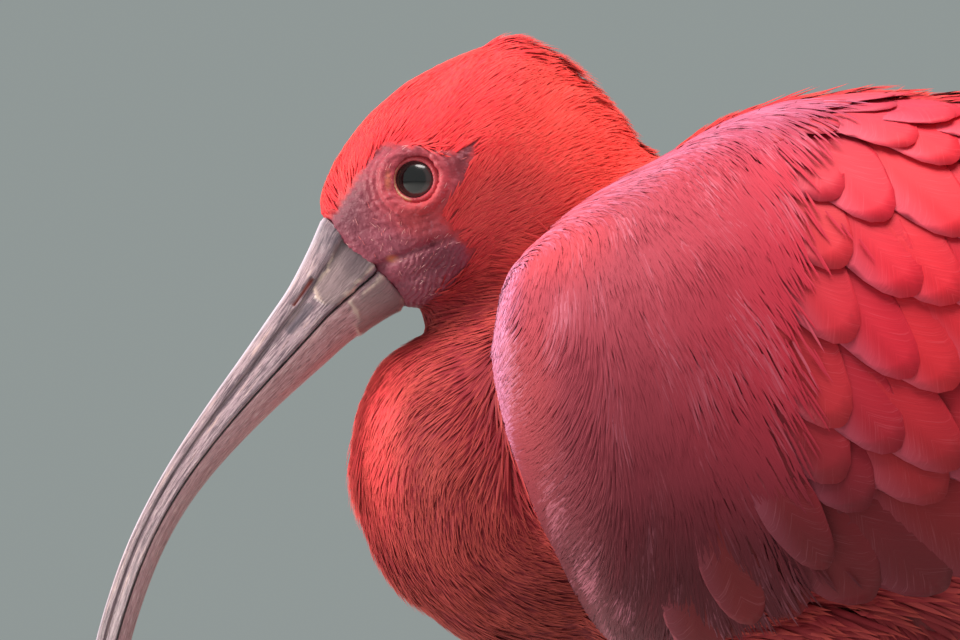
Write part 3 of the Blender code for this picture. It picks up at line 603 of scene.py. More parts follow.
def joined(name, points, triangles, material, slot, patches, along=None, outward=None, **values):
    """One mesh of many like shapes, from arrays of their points in millimetres."""
    count, corners = points.shape[:2]
    mesh = bpy.data.meshes.new(name)
    index = (triangles[None] + (np.arange(count) * corners)[:, None, None]).ravel().astype(np.int32)
    mesh.vertices.add(count * corners)
    mesh.loops.add(len(index))
    mesh.polygons.add(len(index) // 3)
    mesh.vertices.foreach_set("co", (points * MM).astype(np.float32).ravel())
    mesh.loops.foreach_set("vertex_index", index)
    mesh.polygons.foreach_set("loop_start", np.arange(0, len(index), 3, dtype=np.int32))
    mesh.update(calc_edges=True)
    for layer, spots in (("OFBake", patches), ("Vane", along)):
        if spots is not None:
            uv = mesh.uv_layers.new(name=layer)
            uv.data.foreach_set("uv", spots.reshape(-1, 2)[index].astype(np.float32).ravel())
    marked(mesh, **{key: np.broadcast_to(value, (count, corners)).ravel() for key, value in values.items()})
    mesh.shade_smooth()
    if outward is not None:
        mesh.normals_split_custom_set_from_vertices(outward.reshape(-1, 3))
    mesh.materials.append(material)
    made = in_scene(name, mesh)
    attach(made, "root")
    return made


def slivers(name, centres, outs, width, material, spots, tone, pale):
    """Joins one sliver for each line of centres, with the ways outward along it."""
    across_it, up_it, station, triangles = SLIVER
    steps = np.linalg.norm(np.diff(centres, axis=1), axis=2)
    lies = (steps.max(1) < 0.62 * steps.sum(1)) & ((outs[:, 0] * outs[:, -1]).sum(1) > MOST_BEND)
    centres, outs, width, spots, tone, pale = (a[lies] for a in (centres, outs, width, spots, tone, pale))
    across = unit(np.cross(np.gradient(centres, axis=1), outs))
    breadth = (width[:, None] * SLIVER_WIDTHS[station])[..., None]
    points = centres[:, station] + across[:, station] * breadth * across_it[:, None]
    points = points + outs[:, station] * breadth * (up_it * SLIVER_HEIGHT)[:, None]
    outward = unit(outs[:, station] + across[:, station] * (SLIVER_ROUNDS * across_it)[:, None])
    tip = SLIVER_STATIONS[station]
    patches = spots[:, None] + np.stack([across_it, tip - 0.5], axis=1)[None] * 0.003
    marks = {"tone": tone.clip(0, 1)[:, None], "tip": tip, "pale": pale[:, None]}
    return joined(name, points, triangles, material, "plumage", patches, outward=outward, **marks)


hide.calc_loop_triangles()
places, facing = shape_of(hide)
skin_tree = BVHTree.FromPolygons([tuple(p) for p in places], [tuple(f.vertices) for f in hide.polygons])
corners_of = read(hide.loop_triangles, "vertices", kind=np.int32)
loops_of = read(hide.loop_triangles, "loops", kind=np.int32)
uv_of = read(hide.uv_layers["OFBake"].data, "uv", 2)
part_shares = {name: read(hide.attributes[name].data, "value", 1)[:, 0] for name in COAT}


def roots_on_skin(density):
    """Scatters roots, so many in a square millimetre: their places, their ways outward, their
    spots on the skin's unwrap, and how far each lies on each part of the body."""
    edges = places[corners_of[:, 1:]] - places[corners_of[:, :1]]
    areas = np.linalg.norm(np.cross(edges[:, 0], edges[:, 1]), axis=1) / 2
    expected = areas * density[corners_of].mean(1)
    count = np.floor(expected + draws.random(len(expected))).astype(int)
    chosen = np.repeat(np.arange(len(count)), count)
    shares = draws.random((len(chosen), 2))
    fold = shares.sum(1) > 1
    shares[fold] = 1 - shares[fold]
    shares = np.column_stack([1 - shares.sum(1), shares])
    at_corners = corners_of[chosen]
    sampled = (places[at_corners], facing[at_corners], uv_of[loops_of[chosen]])
    roots, out, spots = (np.einsum("nk,nkc->nc", shares, values) for values in sampled)
    parts = {key: np.einsum("nk,nk->n", shares, values[at_corners]) for key, values in part_shares.items()}
    return roots, unit(out), spots, parts


def bent_to_skin(roots, out, heading, length, lift):
    """Lines of stations along the skin from each root, rising to the lift at the tip."""
    heading = unit(heading - out * (heading * out).sum(1)[:, None])
    centres, outs = [roots + out * SLIVER_RISES[0]], [out]
    at = roots
    for step, rise in zip(np.diff(SLIVER_STATIONS), SLIVER_RISES[1:]):
        ahead = at + heading * (length * step)[:, None]
        found = [skin_tree.find_nearest(Vector(p))[:2] for p in ahead]
        at, out = np.array([f[0] for f in found]), np.array([f[1] for f in found])
        heading = unit(heading - out * (heading * out).sum(1)[:, None])
        centres.append(at + out * (lift * rise)[:, None])
        outs.append(out)
    return np.stack(centres, 1), np.stack(outs, 1)


def plumage(name, density, material):
    """Grows body feathers on the skin, as close as the density says at each of its corners."""
    roots, out, spots, parts = roots_on_skin(density)
    total = np.maximum(sum(parts.values()), 1e-3)
    length, width, lift = (sum(parts[key] * FEATHERING[key][n] for key in parts) / total for n in (1, 2, 3))
    level = straight(roots)
    in_front = (parts["torso"] + parts["arm"]) * (1 - eased(roots[:, 0], *BREAST))
    length *= 1 - BREAST_FINER[0] * in_front
    width *= 1 - BREAST_FINER[1] * in_front
    lift *= 1 - BREAST_FINER[2] * in_front
    near_face = (1 - eased(-depth_inside(level[:, [0, 2]], BARE_FACE), 0, FACE_REACH)) * parts["head"]
    length += (FACE_LENGTH - length) * near_face
    lift *= (1 + 0.4 * waver(roots, 7, 2.0)) * (1 - 0.45 * near_face)
    clumps = eased(waver(roots, 3.2, 4.0), 0.0, 0.5)
    tone = 0.5 + 0.25 * waver(roots, 4.5, 3.0) + 0.18 * spread(len(roots))
    for part, middle, reach, longer, higher in RAISED:
        near = (1 - eased(np.linalg.norm(level - middle, axis=1), 0.25 * reach, reach)) * parts[part]
        length *= 1 + longer * near
        lift += higher * near * (0.15 + 0.65 * clumps + 0.2 * draws.random(len(roots)))
        tone += 0.3 * near * clumps
    length, width = varied(length, 0.18), varied(width, 0.15)
    heading = lie_of_coat(roots, parts)
    heading[:, 2] -= 0.6 * eased(-out[:, 0], 0.5, 0.9) * (parts["torso"] + parts["arm"])
    sway = 0.28 * waver(roots, 11, 1.0) + 0.08 * spread(len(roots))
    heading = heading + np.cross(out, heading) * sway[:, None]
    centres, outs = bent_to_skin(roots, out, heading, length, lift)
    slivers(name, centres, outs, width, material, spots, tone, 0 * tone)


def under_the_wing(points, margin):
    """True where a folded wing covers the body, for points of the finished bird."""
    x, y, z = points.T
    upper, lower, half_width = smooth(WINGS, x).T
    middle, half = (upper + lower) / 2, (upper - lower) / 2
    power = np.where(z > middle, *WING_SQUARENESS)
    within = (np.abs(y) / half_width) ** power + (np.abs(z - middle) / half) ** power < 1
    shows = smooth(BACK_SHOWS, x)[:, 0] + margin
    edge = smooth(WING_LOWER_EDGE, x)[:, 0] + margin
    return within & (np.abs(y) > shows) & (z > edge) & (x > WINGS[0][0] + margin)


# Web of the body feathers: matt, warm, a little paler at the tips and darker at the root.
silk, tree, shader, place, tone, tip, pale = new_material("silky_contour_feathers", "tone", "tip", "pale")
colour = layered(tree, plumage_colour_and_painted_light(tree, place), [
    (tone, 0.0, 0.5, 0.15, 0.0, "9A1A24"),
    (tone, 0.5, 1.0, 0.0, 0.25, "FF7068"),
    (tip, 0.0, 0.5, 0.10, 0.0, "A02028"),
    (tip, 0.7, 1.0, 0.0, 0.3, "FF705C"),
    (pale, 0.0, 1.0, 0.0, 1.0, "E8B4B4"),
])
plug(tree, shader, {
    "Base Color": colour, "Roughness": 0.65, "Specular IOR Level": 0.2,
    "Sheen Weight": 0.15, "Sheen Roughness": 0.4, "Sheen Tint": linear("FFA090"),
})

bared = bareness(places)
uncovered = ~under_the_wing(places, UNDER_WING) * (1 - eased(bared, 0.25, 0.9))
closeness = {part: part_shares[part] * FEATHERING[part][0] for part in FEATHERING}
finer = 1 + 1.8 * (1 - eased(places[:, 0], *BREAST))
for side, word in SIDES:
    here = uncovered * (places[:, 1] * side > 0)
    for part in ("head", "neck", "thigh"):
        plumage(f"{part}_plumage_{word}", here * closeness[part], silk)
plumage("body_plumage", uncovered * finer * (closeness["torso"] + closeness["arm"]), silk)

# Stubble: sparse whitish bristles on the bare face, closest along its hind edge and on the jaw.
# They are stiff bare shafts, about 1.3 mm long, that stand in the skin and lie as the plumage does.
STUBBLE = (0.45, 1.3, 0.11, 0.18)  # in a square millimetre, length, width, lift
STUBBLE_SPOTS = [((-104, 260), 6.0), ((-110, 253), 6.0), ((-116, 261), 5.0)]
level = straight(places)[:, [0, 2]]
near = [1 - eased(np.linalg.norm(level - spot, axis=1), 0.3 * reach, reach) for spot, reach in STUBBLE_SPOTS]
roots, out, spots, _ = roots_on_skin(STUBBLE[0] * (0.15 + sum(near)) * (bared > 0.6))
parts = {key: np.full(len(roots), float(key == "head")) for key in COAT}
heading = lie_of_coat(roots, parts) + 0.3 * np.stack([spread(len(roots)) for _ in range(3)], 1)
length = varied(np.full(len(roots), STUBBLE[1]), 0.35)
centres, outs = bent_to_skin(roots, out, heading, length, np.full(len(roots), STUBBLE[3]))
centres[:, 0] += outs[:, 0] * 0.2
width = np.full(len(roots), STUBBLE[2])
pale = 0.35 + 0.45 * draws.random(len(roots))
slivers("face_stubble", centres, outs, width, silk, spots, 0 * length + 0.5, pale)


# Wing feathers: firm webs on a fine shaft, rose with paler leading edges, laid like shingles on
# the arm with each tip over the roots behind it. The outer flight feathers have black ends.
LIE = [(-95, 97), (-71, 86), (-49, 74), (-28, 61), (-7, 50), (29, 37), (67, 28), (115, 24), (165, 22)]
LIE_ON_BACK = 9
WEB_THICKNESS = 0.11
WEB_COLUMNS = np.array([0.0, 0.14, 0.45, 0.72, 0.9, 1.0])  # from the shaft to the edge
WEB_OUTLINE = [(0, 0.4), (0.2, 0.7), (0.45, 0.94), (0.7, 1.0), (0.88, 0.96), (1, 0.88)]
SHAFT_RIDGE = 0.12
TIP_ROUNDING = 0.85  # of the width, how far the edges stop short of the tip
PATH_STEPS = 24
# Rows on each wing, from the lowest layer up: name, how many, first and last tip (place along
# the bird, height), first and last length and width, depth of root and tip below the wing's
# outside, added depth of each next one, lift of the upper edge, black share of the tip.
ROWS = [
    ("primaries", 7, (118, 218), (161, 203), (92, 112), (14, 12), (7.2, 0.9), 0.28, -0.35, 0.26),
    ("secondaries", 8, (66, 214.5), (108, 219), (72, 82), (16, 15), (5.6, 1.3), 0.12, -0.6, 0.0),
    ("tertials", 5, (80, 246), (120, 227), (82, 92), (19, 17), (4.4, -0.2), 0.45, -0.4, 0.0),
    ("greater_coverts", 10, (-66, 184), (58, 209), (42, 58), (19, 18), (4.2, 0.1), 0.0, -0.5, 0.0),
    ("median_coverts", 9, (-56, 203), (62, 226), (36, 46), (18, 17), (4.0, -0.2), 0.0, -0.5, 0.0),
    ("lower_scapulars", 5, (6, 259), (70, 248), (48, 56), (20, 18), (4.0, -0.3), 0.0, -0.5, 0.0),
    ("upper_scapulars", 5, (14, 281), (76, 257), (48, 56), (19, 17), (4.0, -0.5), 0.0, -0.4, 0.0),
    ("shoulder_coverts", 3, (-57, 181), (-35, 199), (38, 36), (12, 11), (0.5, -0.9), 0.0, -0.3, 0.0),
    ("first_scapulars", 5, (-22, 288), (28, 268), (34, 44), (17, 17), (3.4, -0.7), 0.0, -0.4, 0.0),
]
ROW_SCATTER = (1.0, 0.6)  # of the tips, along the bird and in height
VANE_CUTS, COVERT_CUTS = 14, 10  # along a long feather and a small covert
# Small coverts over the rest of the wing: where they end behind, for each height.
COVERTS_END = [(176, -66), (200, -44), (215, -10), (235, 24), (250, 34), (264, 22), (280, 4), (294, -14)]
COVERT_PITCH = (5.0, 12.0)  # between rows, at the front edge and at the back
COVERT_GROWS = (-92, -30)
COVERT_RUN = (-93.0, 44)
COVERT_SCATTER = (1.4, 1.6)  # of the tips, in millimetres along the bird and in degrees
COVERT_LENGTH, COVERT_WIDTH = (4, 3.1), (2.5, 1.05)  # in all, and for each millimetre of pitch
COVERT_SLOPE = 0.05  # sinks by this for each millimetre from tip to root
# Down on the shoulder: feathers in a square millimetre, where they thin out, length, width, lift.
DOWN_CLOSENESS, DOWN_THINS, DOWN_LENGTH, DOWN_WIDTH, DOWN_LIFT = 1.54, (-68, -30), (10.0, 14.0), 0.52, 0.35
DOWN_GRID = (0.6, 2.0)  # along the bird and round the wing
TOP_SINKS = 3.4  # how far the wing lies below the mantle beside it


def lie_at(x, turn):
    """Heading of the wing feathers, in radians down from straight back."""
    on_back = np.clip((turn - 46) / 36, 0, 1)
    at_side = smooth(LIE, x)[..., 0]
    return np.radians(at_side + (LIE_ON_BACK - at_side) * on_back)


def below_mantle(x, turn):
    """How far the wing's top is sunk beside the mantle."""
    return TOP_SINKS * eased(turn, 46, 76) * (1 - eased(x, 5, 45)) * eased(x, -80, -55)


def turn_at(x, height):
    """The turn at which the wings' outside has this height."""
    low, high = np.full(np.shape(x), -90.0), np.full(np.shape(x), 90.0)
    for _ in range(26):
        middle = (low + high) / 2
        below = wing_place(x, middle, RIGHT)[..., 2] < height
        low, high = np.where(below, middle, low), np.where(below, high, middle)
    return low


def shows(x, turn, side):
    """True where the wing's outside isn't cut off by the back or the flank."""
    spots = wing_place(x, turn, side)
    above = spots[:, 2] > smooth(WING_LOWER_EDGE, x)[:, 0] - 2
    return above & (np.abs(spots[:, 1]) > smooth(BACK_SHOWS, x)[:, 0] - 2)


def between(ends, share):
    """Goes from the first of two ends to the second as the share goes from 0 to 1."""
    return ends[0] + (ends[1] - ends[0]) * share


def wing_step(x, turn, side, back, down):
    """Where a short way back and down the wings' outside leads."""
    _, _, per_x, per_turn, skew = wing_frame(x, turn, side)
    turn_by = down / np.maximum(per_turn, 0.05)
    return x + (back - turn_by * skew) / per_x, turn - turn_by


def spot_on_unwrap(x, turn):
    """Where a root lies on an unwrap of the wing."""
    return np.stack([(x + 100) / 300, (turn + 100) / 220], 1)


def web(rows):
    """A flat feather as a thin closed slab: column, row and layer of each corner, triangles."""
    bm = bmesh.new()
    columns = 2 * (len(WEB_COLUMNS) - 1)
    bmesh.ops.create_grid(bm, x_segments=columns, y_segments=rows, size=1)
    bmesh.ops.solidify(bm, geom=bm.faces[:], thickness=0.1)
    bmesh.ops.triangulate(bm, faces=bm.faces)
    bmesh.ops.recalc_face_normals(bm, faces=bm.faces)
    bm.verts.index_update()
    corners = np.array([v.co for v in bm.verts])
    column = np.rint((corners[:, 0] + 1) / 2 * columns).astype(int)
    row = np.rint((corners[:, 1] + 1) / 2 * rows).astype(int)
    under = np.abs(corners[:, 2]) > 0.05
    triangles = np.array([[v.index for v in f.verts] for f in bm.faces])
    if corners[:, 2].max() > 0.05:
        triangles = triangles[:, ::-1]
    bm.free()
    return column, row, under, triangles


across_web = np.concatenate([-WEB_COLUMNS[:0:-1], WEB_COLUMNS])


def wing_feathers(name, side, x, turn, length, width, depths, lift, rows, slot, **values):
    """Lays a group of feathers on the wing from their tips forward, and joins them."""
    count = len(x)
    path = [(x, turn)]
    for _ in range(PATH_STEPS):
        heading = lie_at(x, turn)
        step = length / PATH_STEPS
        x, turn = wing_step(x, turn, side, -np.cos(heading) * step, -np.sin(heading) * step)
        turn = np.clip(turn, -88, 104)
        path.append((x, turn))
    xs = np.maximum(np.stack([p[0] for p in path[::-1]], 1), WINGS[0][0])
    turns = np.stack([p[1] for p in path[::-1]], 1)
    share = np.linspace(0, 1, rows + 1)
    rounding = TIP_ROUNDING * (width / length)[:, None, None]
    rounding = rounding * (1 - np.sqrt(1 - 0.98 * across_web**2)) / 0.86
    ragged = 0.010 * spread((count, rows + 1, len(across_web))) * (np.abs(across_web) > 0.9)
    along = share[None, :, None] * (1 + ragged) - rounding * share[None, :, None] ** 3
    spot = np.clip(along, 0, 1) * PATH_STEPS
    low = np.minimum(spot.astype(int), PATH_STEPS - 1)
    part = spot - low
    pick = np.arange(count)[:, None, None]
    x_at = xs[pick, low] * (1 - part) + xs[pick, low + 1] * part
    turn_at_it = turns[pick, low] * (1 - part) + turns[pick, low + 1] * part
    heading = lie_at(x_at, turn_at_it)
    reach = across_web * smooth(WEB_OUTLINE, share) * (width / 2)[:, None, None]
    x_at, turn_at_it = wing_step(x_at, turn_at_it, side, np.sin(heading) * reach, -np.cos(heading) * reach)
    x_at = np.maximum(x_at, WINGS[0][0])
    place, out = wing_frame(x_at, turn_at_it, side)[:2]
    depth = depths[1][:, None, None] + (depths[0] - depths[1])[:, None, None] * (1 - along)
    rise = lift * across_web - 0.22 * across_web**2 + SHAFT_RIDGE * (across_web == 0)
    rise = rise - depth - below_mantle(x_at, turn_at_it)
    surface = place + out * rise[..., None]
    column, row, below, triangles = web(rows)
    points = surface[:, row, column] - out[:, row, column] * (WEB_THICKNESS * below)[:, None]
    if side == LEFT:
        triangles = triangles[:, ::-1]
    across, tip = across_web[column], share[row]
    patches = np.stack([(tip - 0.5) * 0.003, across * 0.0015], 1)[None]
    patches = spot_on_unwrap(xs[:, 0], turns[:, 0])[:, None] + patches
    vane = np.stack([across * width[:, None] / 2, tip * length[:, None]], 2)
    return joined(
        f"{name}_{dict(SIDES)[side]}", points, triangles, rose, slot, patches, along=vane,
        across=across, tip=tip, **values,
    )


# Web of the wing feathers: crimson behind and duller rose on the shoulder, with painted shade on the
# lower wing. Its barbs slant away from the shaft, about 0.4 mm apart, and give a matt web a fine grain.
rose, tree, shader, place, across, tip, tone, pale, black = new_material(
    "rose_wing_feathers", "across", "tip", "tone", "pale", "black",
)
spot = node(tree, "SeparateXYZ", {0: place}).node.outputs
vane_at = node(tree, "SeparateXYZ", {0: node(tree, "UVMap", uv_map="Vane")}).node.outputs
outward = node(tree, "Math", {0: vane_at[0]}, operation="ABSOLUTE")
slanted = node(tree, "Math", {0: outward, 1: -1.6, 2: vane_at[1]}, operation="MULTIPLY_ADD")
barb_at = node(tree, "CombineXYZ", {0: slanted, 1: tone, 2: vane_at[0]})
barb_at = node(tree, "VectorMath", {0: barb_at, 1: (2.6, 40.0, 0.16)}, operation="MULTIPLY")
barbs = node(tree, "TexNoise", {"Vector": barb_at, "Scale": 1.0, "Detail": 3.0})
ending = node(tree, "Math", {0: tip, 1: black})
colour = layered(tree, linear("A43E4A"), [
    (spot[0], -0.066, -0.012, 0.0, 1.0, "EE283E"),
    (from_middle(tree, place, (-44, 0, 290), (40, 90, 14)), 0.4, 1.3, 0.8, 0.0, "C04E66"),
    # painted shade: darker towards the wing's lower edge, less dark on the lobes at the lower front
    (spot[2], 0.204, 0.254, 0.85, 0.0, "5E1F28"),
    (from_middle(tree, place, (-45, 0, 192), (18, 90, 14)), 0.5, 1.3, 0.7, 0.0, "8E3236"),
    (tone, 0.0, 1.0, 0.0, 0.28, "F0403C"),
    (tip, 0.1, 0.8, 0.4, 0.0, "7E1420"),
    (across, -1.0, -0.1, 0.40, 0.0, "D4708A"),
    (across, 0.2, 1.0, 0.0, 0.30, "A01428"),
    # painted shade: darker still along the lowest edge
    (spot[2], 0.196, 0.228, 0.7, 0.0, "4A191E"),
    (barbs, 0.40, 0.62, 0.10, 0.0, "8A2030"),
    (barbs, 0.56, 0.75, 0.0, 0.12, "E88A9A"),
    (pale, 0.0, 1.0, 0.0, 1.0, "D0708E"),
    (ending, 1.0, 1.05, 0.0, 1.0, "140C0E"),
])
bump = node(tree, "Bump", {"Height": barbs, "Distance": 0.0002, "Strength": 0.2})
plug(tree, shader, {
    "Base Color": colour, "Roughness": 0.55, "Specular IOR Level": 0.2, "Normal": bump,
    "Sheen Weight": 0.06, "Sheen Tint": linear("FFB0B8"),
})

# Down of the shoulder: loose barbs in the same rose, palest along the wing's front and top, with
# painted shade towards the wing's lower edge.
down, tree, shader, place, tone, tip, pale = new_material("rose_shoulder_down", "tone", "tip", "pale")
spot = node(tree, "SeparateXYZ", {0: place}).node.outputs
colour = layered(tree, linear("A03C4A"), [
    (spot[0], -0.076, -0.018, 0.0, 1.0, "DC2C44"),
    (from_middle(tree, place, (-44, 0, 288), (44, 90, 14)), 0.4, 1.3, 0.8, 0.0, "9C405A"),
    (from_middle(tree, place, (-85, 0, 262), (14, 90, 12)), 0.4, 1.3, 0.8, 0.0, "C44048"),
    (from_middle(tree, place, (-88, 0, 222), (6, 90, 30)), 0.4, 1.3, 0.7, 0.0, "B83E44"),
    # painted shade: darker towards the wing's lower edge, darkest along it
    (spot[2], 0.200, 0.246, 0.85, 0.0, "64242E"),
    (spot[2], 0.192, 0.216, 0.7, 0.0, "40171D"),
    (tone, 0.0, 0.5, 0.2, 0.0, "8A2A3A"),
    (tone, 0.5, 1.0, 0.0, 0.5, "D07C90"),
    (tip, 0.0, 0.5, 0.15, 0.0, "8E2230"),
    (pale, 0.0, 1.0, 0.0, 1.0, "D88AB0"),
])
plug(tree, shader, {
    "Base Color": colour, "Roughness": 0.65, "Specular IOR Level": 0.2,
    "Sheen Weight": 0.12, "Sheen Tint": linear("FFB8C8"),
})

for side, word in SIDES:
    for name, count, first, last, lengths, widths, depths, under, lift, black in ROWS:
        share = np.linspace(0, 1, count)
        tips, heights = zip(first, last)
        x = between(tips, share) + ROW_SCATTER[0] * spread(count)
        turn = turn_at(x, between(heights, share) + ROW_SCATTER[1] * spread(count))
        length, width = varied(between(lengths, share), 0.03), varied(between(widths, share), 0.04)
        sunk = [depth + under * np.arange(count) for depth in depths]
        row_of_feathers = wing_feathers(
            name, side, x, turn, length, width, sunk, lift, VANE_CUTS, "flight_feathers",
            tone=draws.random(count)[:, None], pale=0.0, black=black,
        )
        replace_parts(row_of_feathers, f"wing_{word}")
    x, tips_x, tips_turn = COVERT_RUN[0], [], []
    girth = np.arange(-86, 100, 0.5)
    while x < COVERT_RUN[1]:
        pitch = between(COVERT_PITCH, eased(x, *COVERT_GROWS))
        ring = wing_place(np.full(len(girth), x), girth, side)
        run = np.concatenate([[0], np.cumsum(np.linalg.norm(np.diff(ring, axis=0), axis=1))])
        at = np.arange((len(tips_x) % 2) * pitch * 0.6, run[-1], pitch * 1.2)
        turns_here = np.interp(at, run, girth)
        ends = smooth(COVERTS_END, wing_place(np.full(len(at), x), turns_here, side)[:, 2])[:, 0]
        kept = (x < ends) & shows(np.full(len(at), x), turns_here, side)
        tips_x.append(np.full(kept.sum(), x))
        tips_turn.append(turns_here[kept])
        x += pitch * 0.95
    x, turn = np.concatenate(tips_x), np.concatenate(tips_turn)
    x, turn = (at + most * spread(len(at)) for at, most in zip((x, turn), COVERT_SCATTER))
    pitch = between(COVERT_PITCH, eased(x, *COVERT_GROWS))
    length = varied(COVERT_LENGTH[0] + COVERT_LENGTH[1] * pitch, 0.08)
    width = varied(COVERT_WIDTH[0] + COVERT_WIDTH[1] * pitch, 0.08)
    tip_depth = -0.25 + 0.3 * draws.random(len(x))
    sunk = [tip_depth + COVERT_SLOPE * length, tip_depth]
    tones = draws.random(len(x))[:, None]
    edge = (0.3 * (1 - eased(x, -93, -86)) * draws.random(len(x)))[:, None]
    small = wing_feathers(
        "small_coverts", side, x, turn, length, width, sunk, -0.2, COVERT_CUTS, "plumage",
        tone=tones, pale=edge, black=0.0,
    )
    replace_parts(small, f"wing_{word}")

    grid_x, grid_turn = np.meshgrid(np.arange(-95.2, 10, DOWN_GRID[0]), np.arange(-88, 100, DOWN_GRID[1]))
    grid_x, grid_turn = grid_x.ravel(), grid_turn.ravel()
    surface, _, per_x, per_turn, _ = wing_frame(grid_x, grid_turn, side)
    fades = 1 - eased(grid_x + 9 * waver(surface, 15, 3.0), *DOWN_THINS)
    closer = 1 + 1.2 * (1 - eased(grid_x, -94, -89))
    closeness = DOWN_CLOSENESS * fades * closer * shows(grid_x, grid_turn, side)
    expected = closeness * per_x * per_turn * DOWN_GRID[0] * DOWN_GRID[1]
    count = np.floor(expected + draws.random(len(expected))).astype(int)
    x = np.repeat(grid_x, count) + DOWN_GRID[0] * draws.random(count.sum())
    turn = np.repeat(grid_turn, count) + DOWN_GRID[1] * draws.random(count.sum())
    amount, start, surface = len(x), spot_on_unwrap(x, turn), wing_place(x, turn, side)
    on_top = eased(turn, 52, 66) * (1 - eased(x, -34, -20))
    in_front = 1 - eased(x, -93.5, -87.0)
    length = varied(between(DOWN_LENGTH, eased(x, -90, -50)), 0.15)
    length *= (1 - 0.5 * in_front) * (0.45 + 0.55 * (1 - eased(x, *DOWN_THINS)))
    lift = DOWN_LIFT * (1 + 0.5 * waver(surface, 9, 1.5)) + 0.2 * in_front * draws.random(amount)
    lift *= 1 - 0.7 * eased(x, -75, -40)
    sway = 0.16 * waver(surface, 13, 2.0) + 0.05 * spread(amount) + 0.06 * in_front * spread(amount)
    streaks = waver(surface * (2.2, 1, 0.35), 9, 0.7)
    centres, outs = [], []
    for step, rise in zip(np.diff(SLIVER_STATIONS, append=1), SLIVER_RISES):
        place, out = wing_frame(x, turn, side)[:2]
        height = lift * rise - below_mantle(x, turn) + 0.15
        centres.append(place + out * height[:, None])
        outs.append(out)
        heading = lie_at(x, turn) + sway
        x, turn = wing_step(x, turn, side, np.cos(heading) * length * step, np.sin(heading) * length * step)
        turn = np.clip(turn, -89, 104)
    tone = 0.45 + 0.36 * streaks + 0.09 * spread(amount)
    pale = np.maximum(in_front, 0.5 * on_top) * (0.35 + 0.65 * draws.random(amount))
    width = np.full(amount, DOWN_WIDTH)
    centres, outs = np.stack(centres, 1), np.stack(outs, 1)
    fluff = slivers(f"shoulder_down_{word}", centres, outs, width, down, start, tone, pale)
    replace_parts(fluff, f"wing_{word}")


# Tail: twelve soft, blunt feathers folded into a narrow fan, the middle pair on top. Their webs
# are like the wings' own, and their quills are held in the rump, under the ends of the wings.
TAIL_ROOT = np.array([70.0, 0.0, 231.5])
TAIL_SLOPE = math.radians(24.6)
TAIL_BACK = np.array([math.cos(TAIL_SLOPE), 0, -math.sin(TAIL_SLOPE)])
TAIL_UP = np.array([math.sin(TAIL_SLOPE), 0, math.cos(TAIL_SLOPE)])
TAIL_PAIRS = 6
TAIL_LENGTH, TAIL_WIDTH = 99.0, 19.0
TAIL_STARTS = 8.0
TAIL_STEP, TAIL_SPREAD, TAIL_STEPS_BACK = 0.95, 14.5, 1.4
TAIL_ROWS = 22

column, row, below, triangles = web(TAIL_ROWS)
triangles = triangles[:, ::-1]
share = np.linspace(0, 1, TAIL_ROWS + 1)
quills = []
for number in range(TAIL_PAIRS):
    for side in (LEFT, RIGHT):
        drop = TAIL_STEP * (number + (0.5 if side == LEFT else 0))
        length = TAIL_LENGTH + 5 - TAIL_STEPS_BACK * number
        swing = math.asin(TAIL_SPREAD * (number + 0.5) / TAIL_PAIRS / length) * side
        out_along = TAIL_BACK * math.cos(swing) + np.array([0, math.sin(swing), 0])
        across = np.array([0, math.cos(swing), 0]) - TAIL_BACK * math.sin(swing)
        root = TAIL_ROOT + TAIL_BACK * TAIL_STARTS + TAIL_UP * (2.2 - drop * 0.6)
        rounding = 0.30 * TAIL_WIDTH / length * np.abs(across_web) ** 2.4
        ragged = 0.004 * draws.standard_normal((TAIL_ROWS + 1, len(across_web))) * (np.abs(across_web) > 0.9)
        along = share[:, None] * (1 + ragged) - rounding * share[:, None] ** 3
        reach = across_web * smooth(WEB_OUTLINE, share) * TAIL_WIDTH / 2
        surface = root + out_along * (along * length)[..., None] + across * reach[..., None]
        rise = SHAFT_RIDGE * (across_web == 0) - 0.5 * across_web**2 - 0.4 * drop * share[:, None]
        surface = surface + TAIL_UP * rise[..., None]
        quills.append(surface[row, column] - TAIL_UP * (WEB_THICKNESS * below)[:, None])
quills = np.array(quills)
across, tip = across_web[column], share[row]
order = np.arange(len(quills))[:, None]
patches = np.stack([0.1 + 0.006 * order + 0.0015 * across, 0.1 + 0.003 * tip + 0 * order], 2)
vane = np.stack([across * TAIL_WIDTH / 2 + 0 * order, tip * TAIL_LENGTH + 0 * order], 2)
tail_feathers = joined(
    "tail_feathers", quills, triangles, rose, "flight_feathers", patches, along=vane,
    across=across, tip=tip, tone=draws.random(len(quills))[:, None], pale=0.0, black=0.0,
)
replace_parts(tail_feathers, "tail")

# Bill: two long bowed sheaths of horn over bone, pinkish brown and streaked, with a groove that
# holds the slit of the nostril and a plate of older, flaking horn on each side of the base.
BILL_BASE = np.array([-120.8, 0.0, 255.4])
BILL_LENGTH = 151.0
BILL_STEP = 0.25
# Distance along the bill, heading below level, tilt of the section, half depth, half width.
BILL = [
    (0, 51, -8, 11.3, 7.0),
    (5, 50, -4, 9.6, 6.6),
    (12, 49, 0, 7.8, 6.0),
    (18, 48.5, 0, 7.0, 5.5),
    (31, 48.7, 0, 5.5, 4.7),
    (45, 52.3, 0, 4.3, 4.1),
    (58, 59.3, 0, 3.55, 3.6),
    (72, 69, 0, 3.25, 3.3),
    (86, 75, 0, 3.15, 3.1),
    (105, 82, 0, 2.85, 2.8),
    (125, 89, 0, 2.5, 2.4),
    (142, 95, 0, 2.05, 2.1),
    (149.5, 98, 0, 1.15, 1.2),
    (151, 98, 0, 0.5, 0.5),
]
MOUTH = (0.62, 0.565)  # share of the depth, from the ridge, where the bill opens: at its base, farther on
MOUTH_SETTLES = 12.0
MOUTH_GAP = 0.34
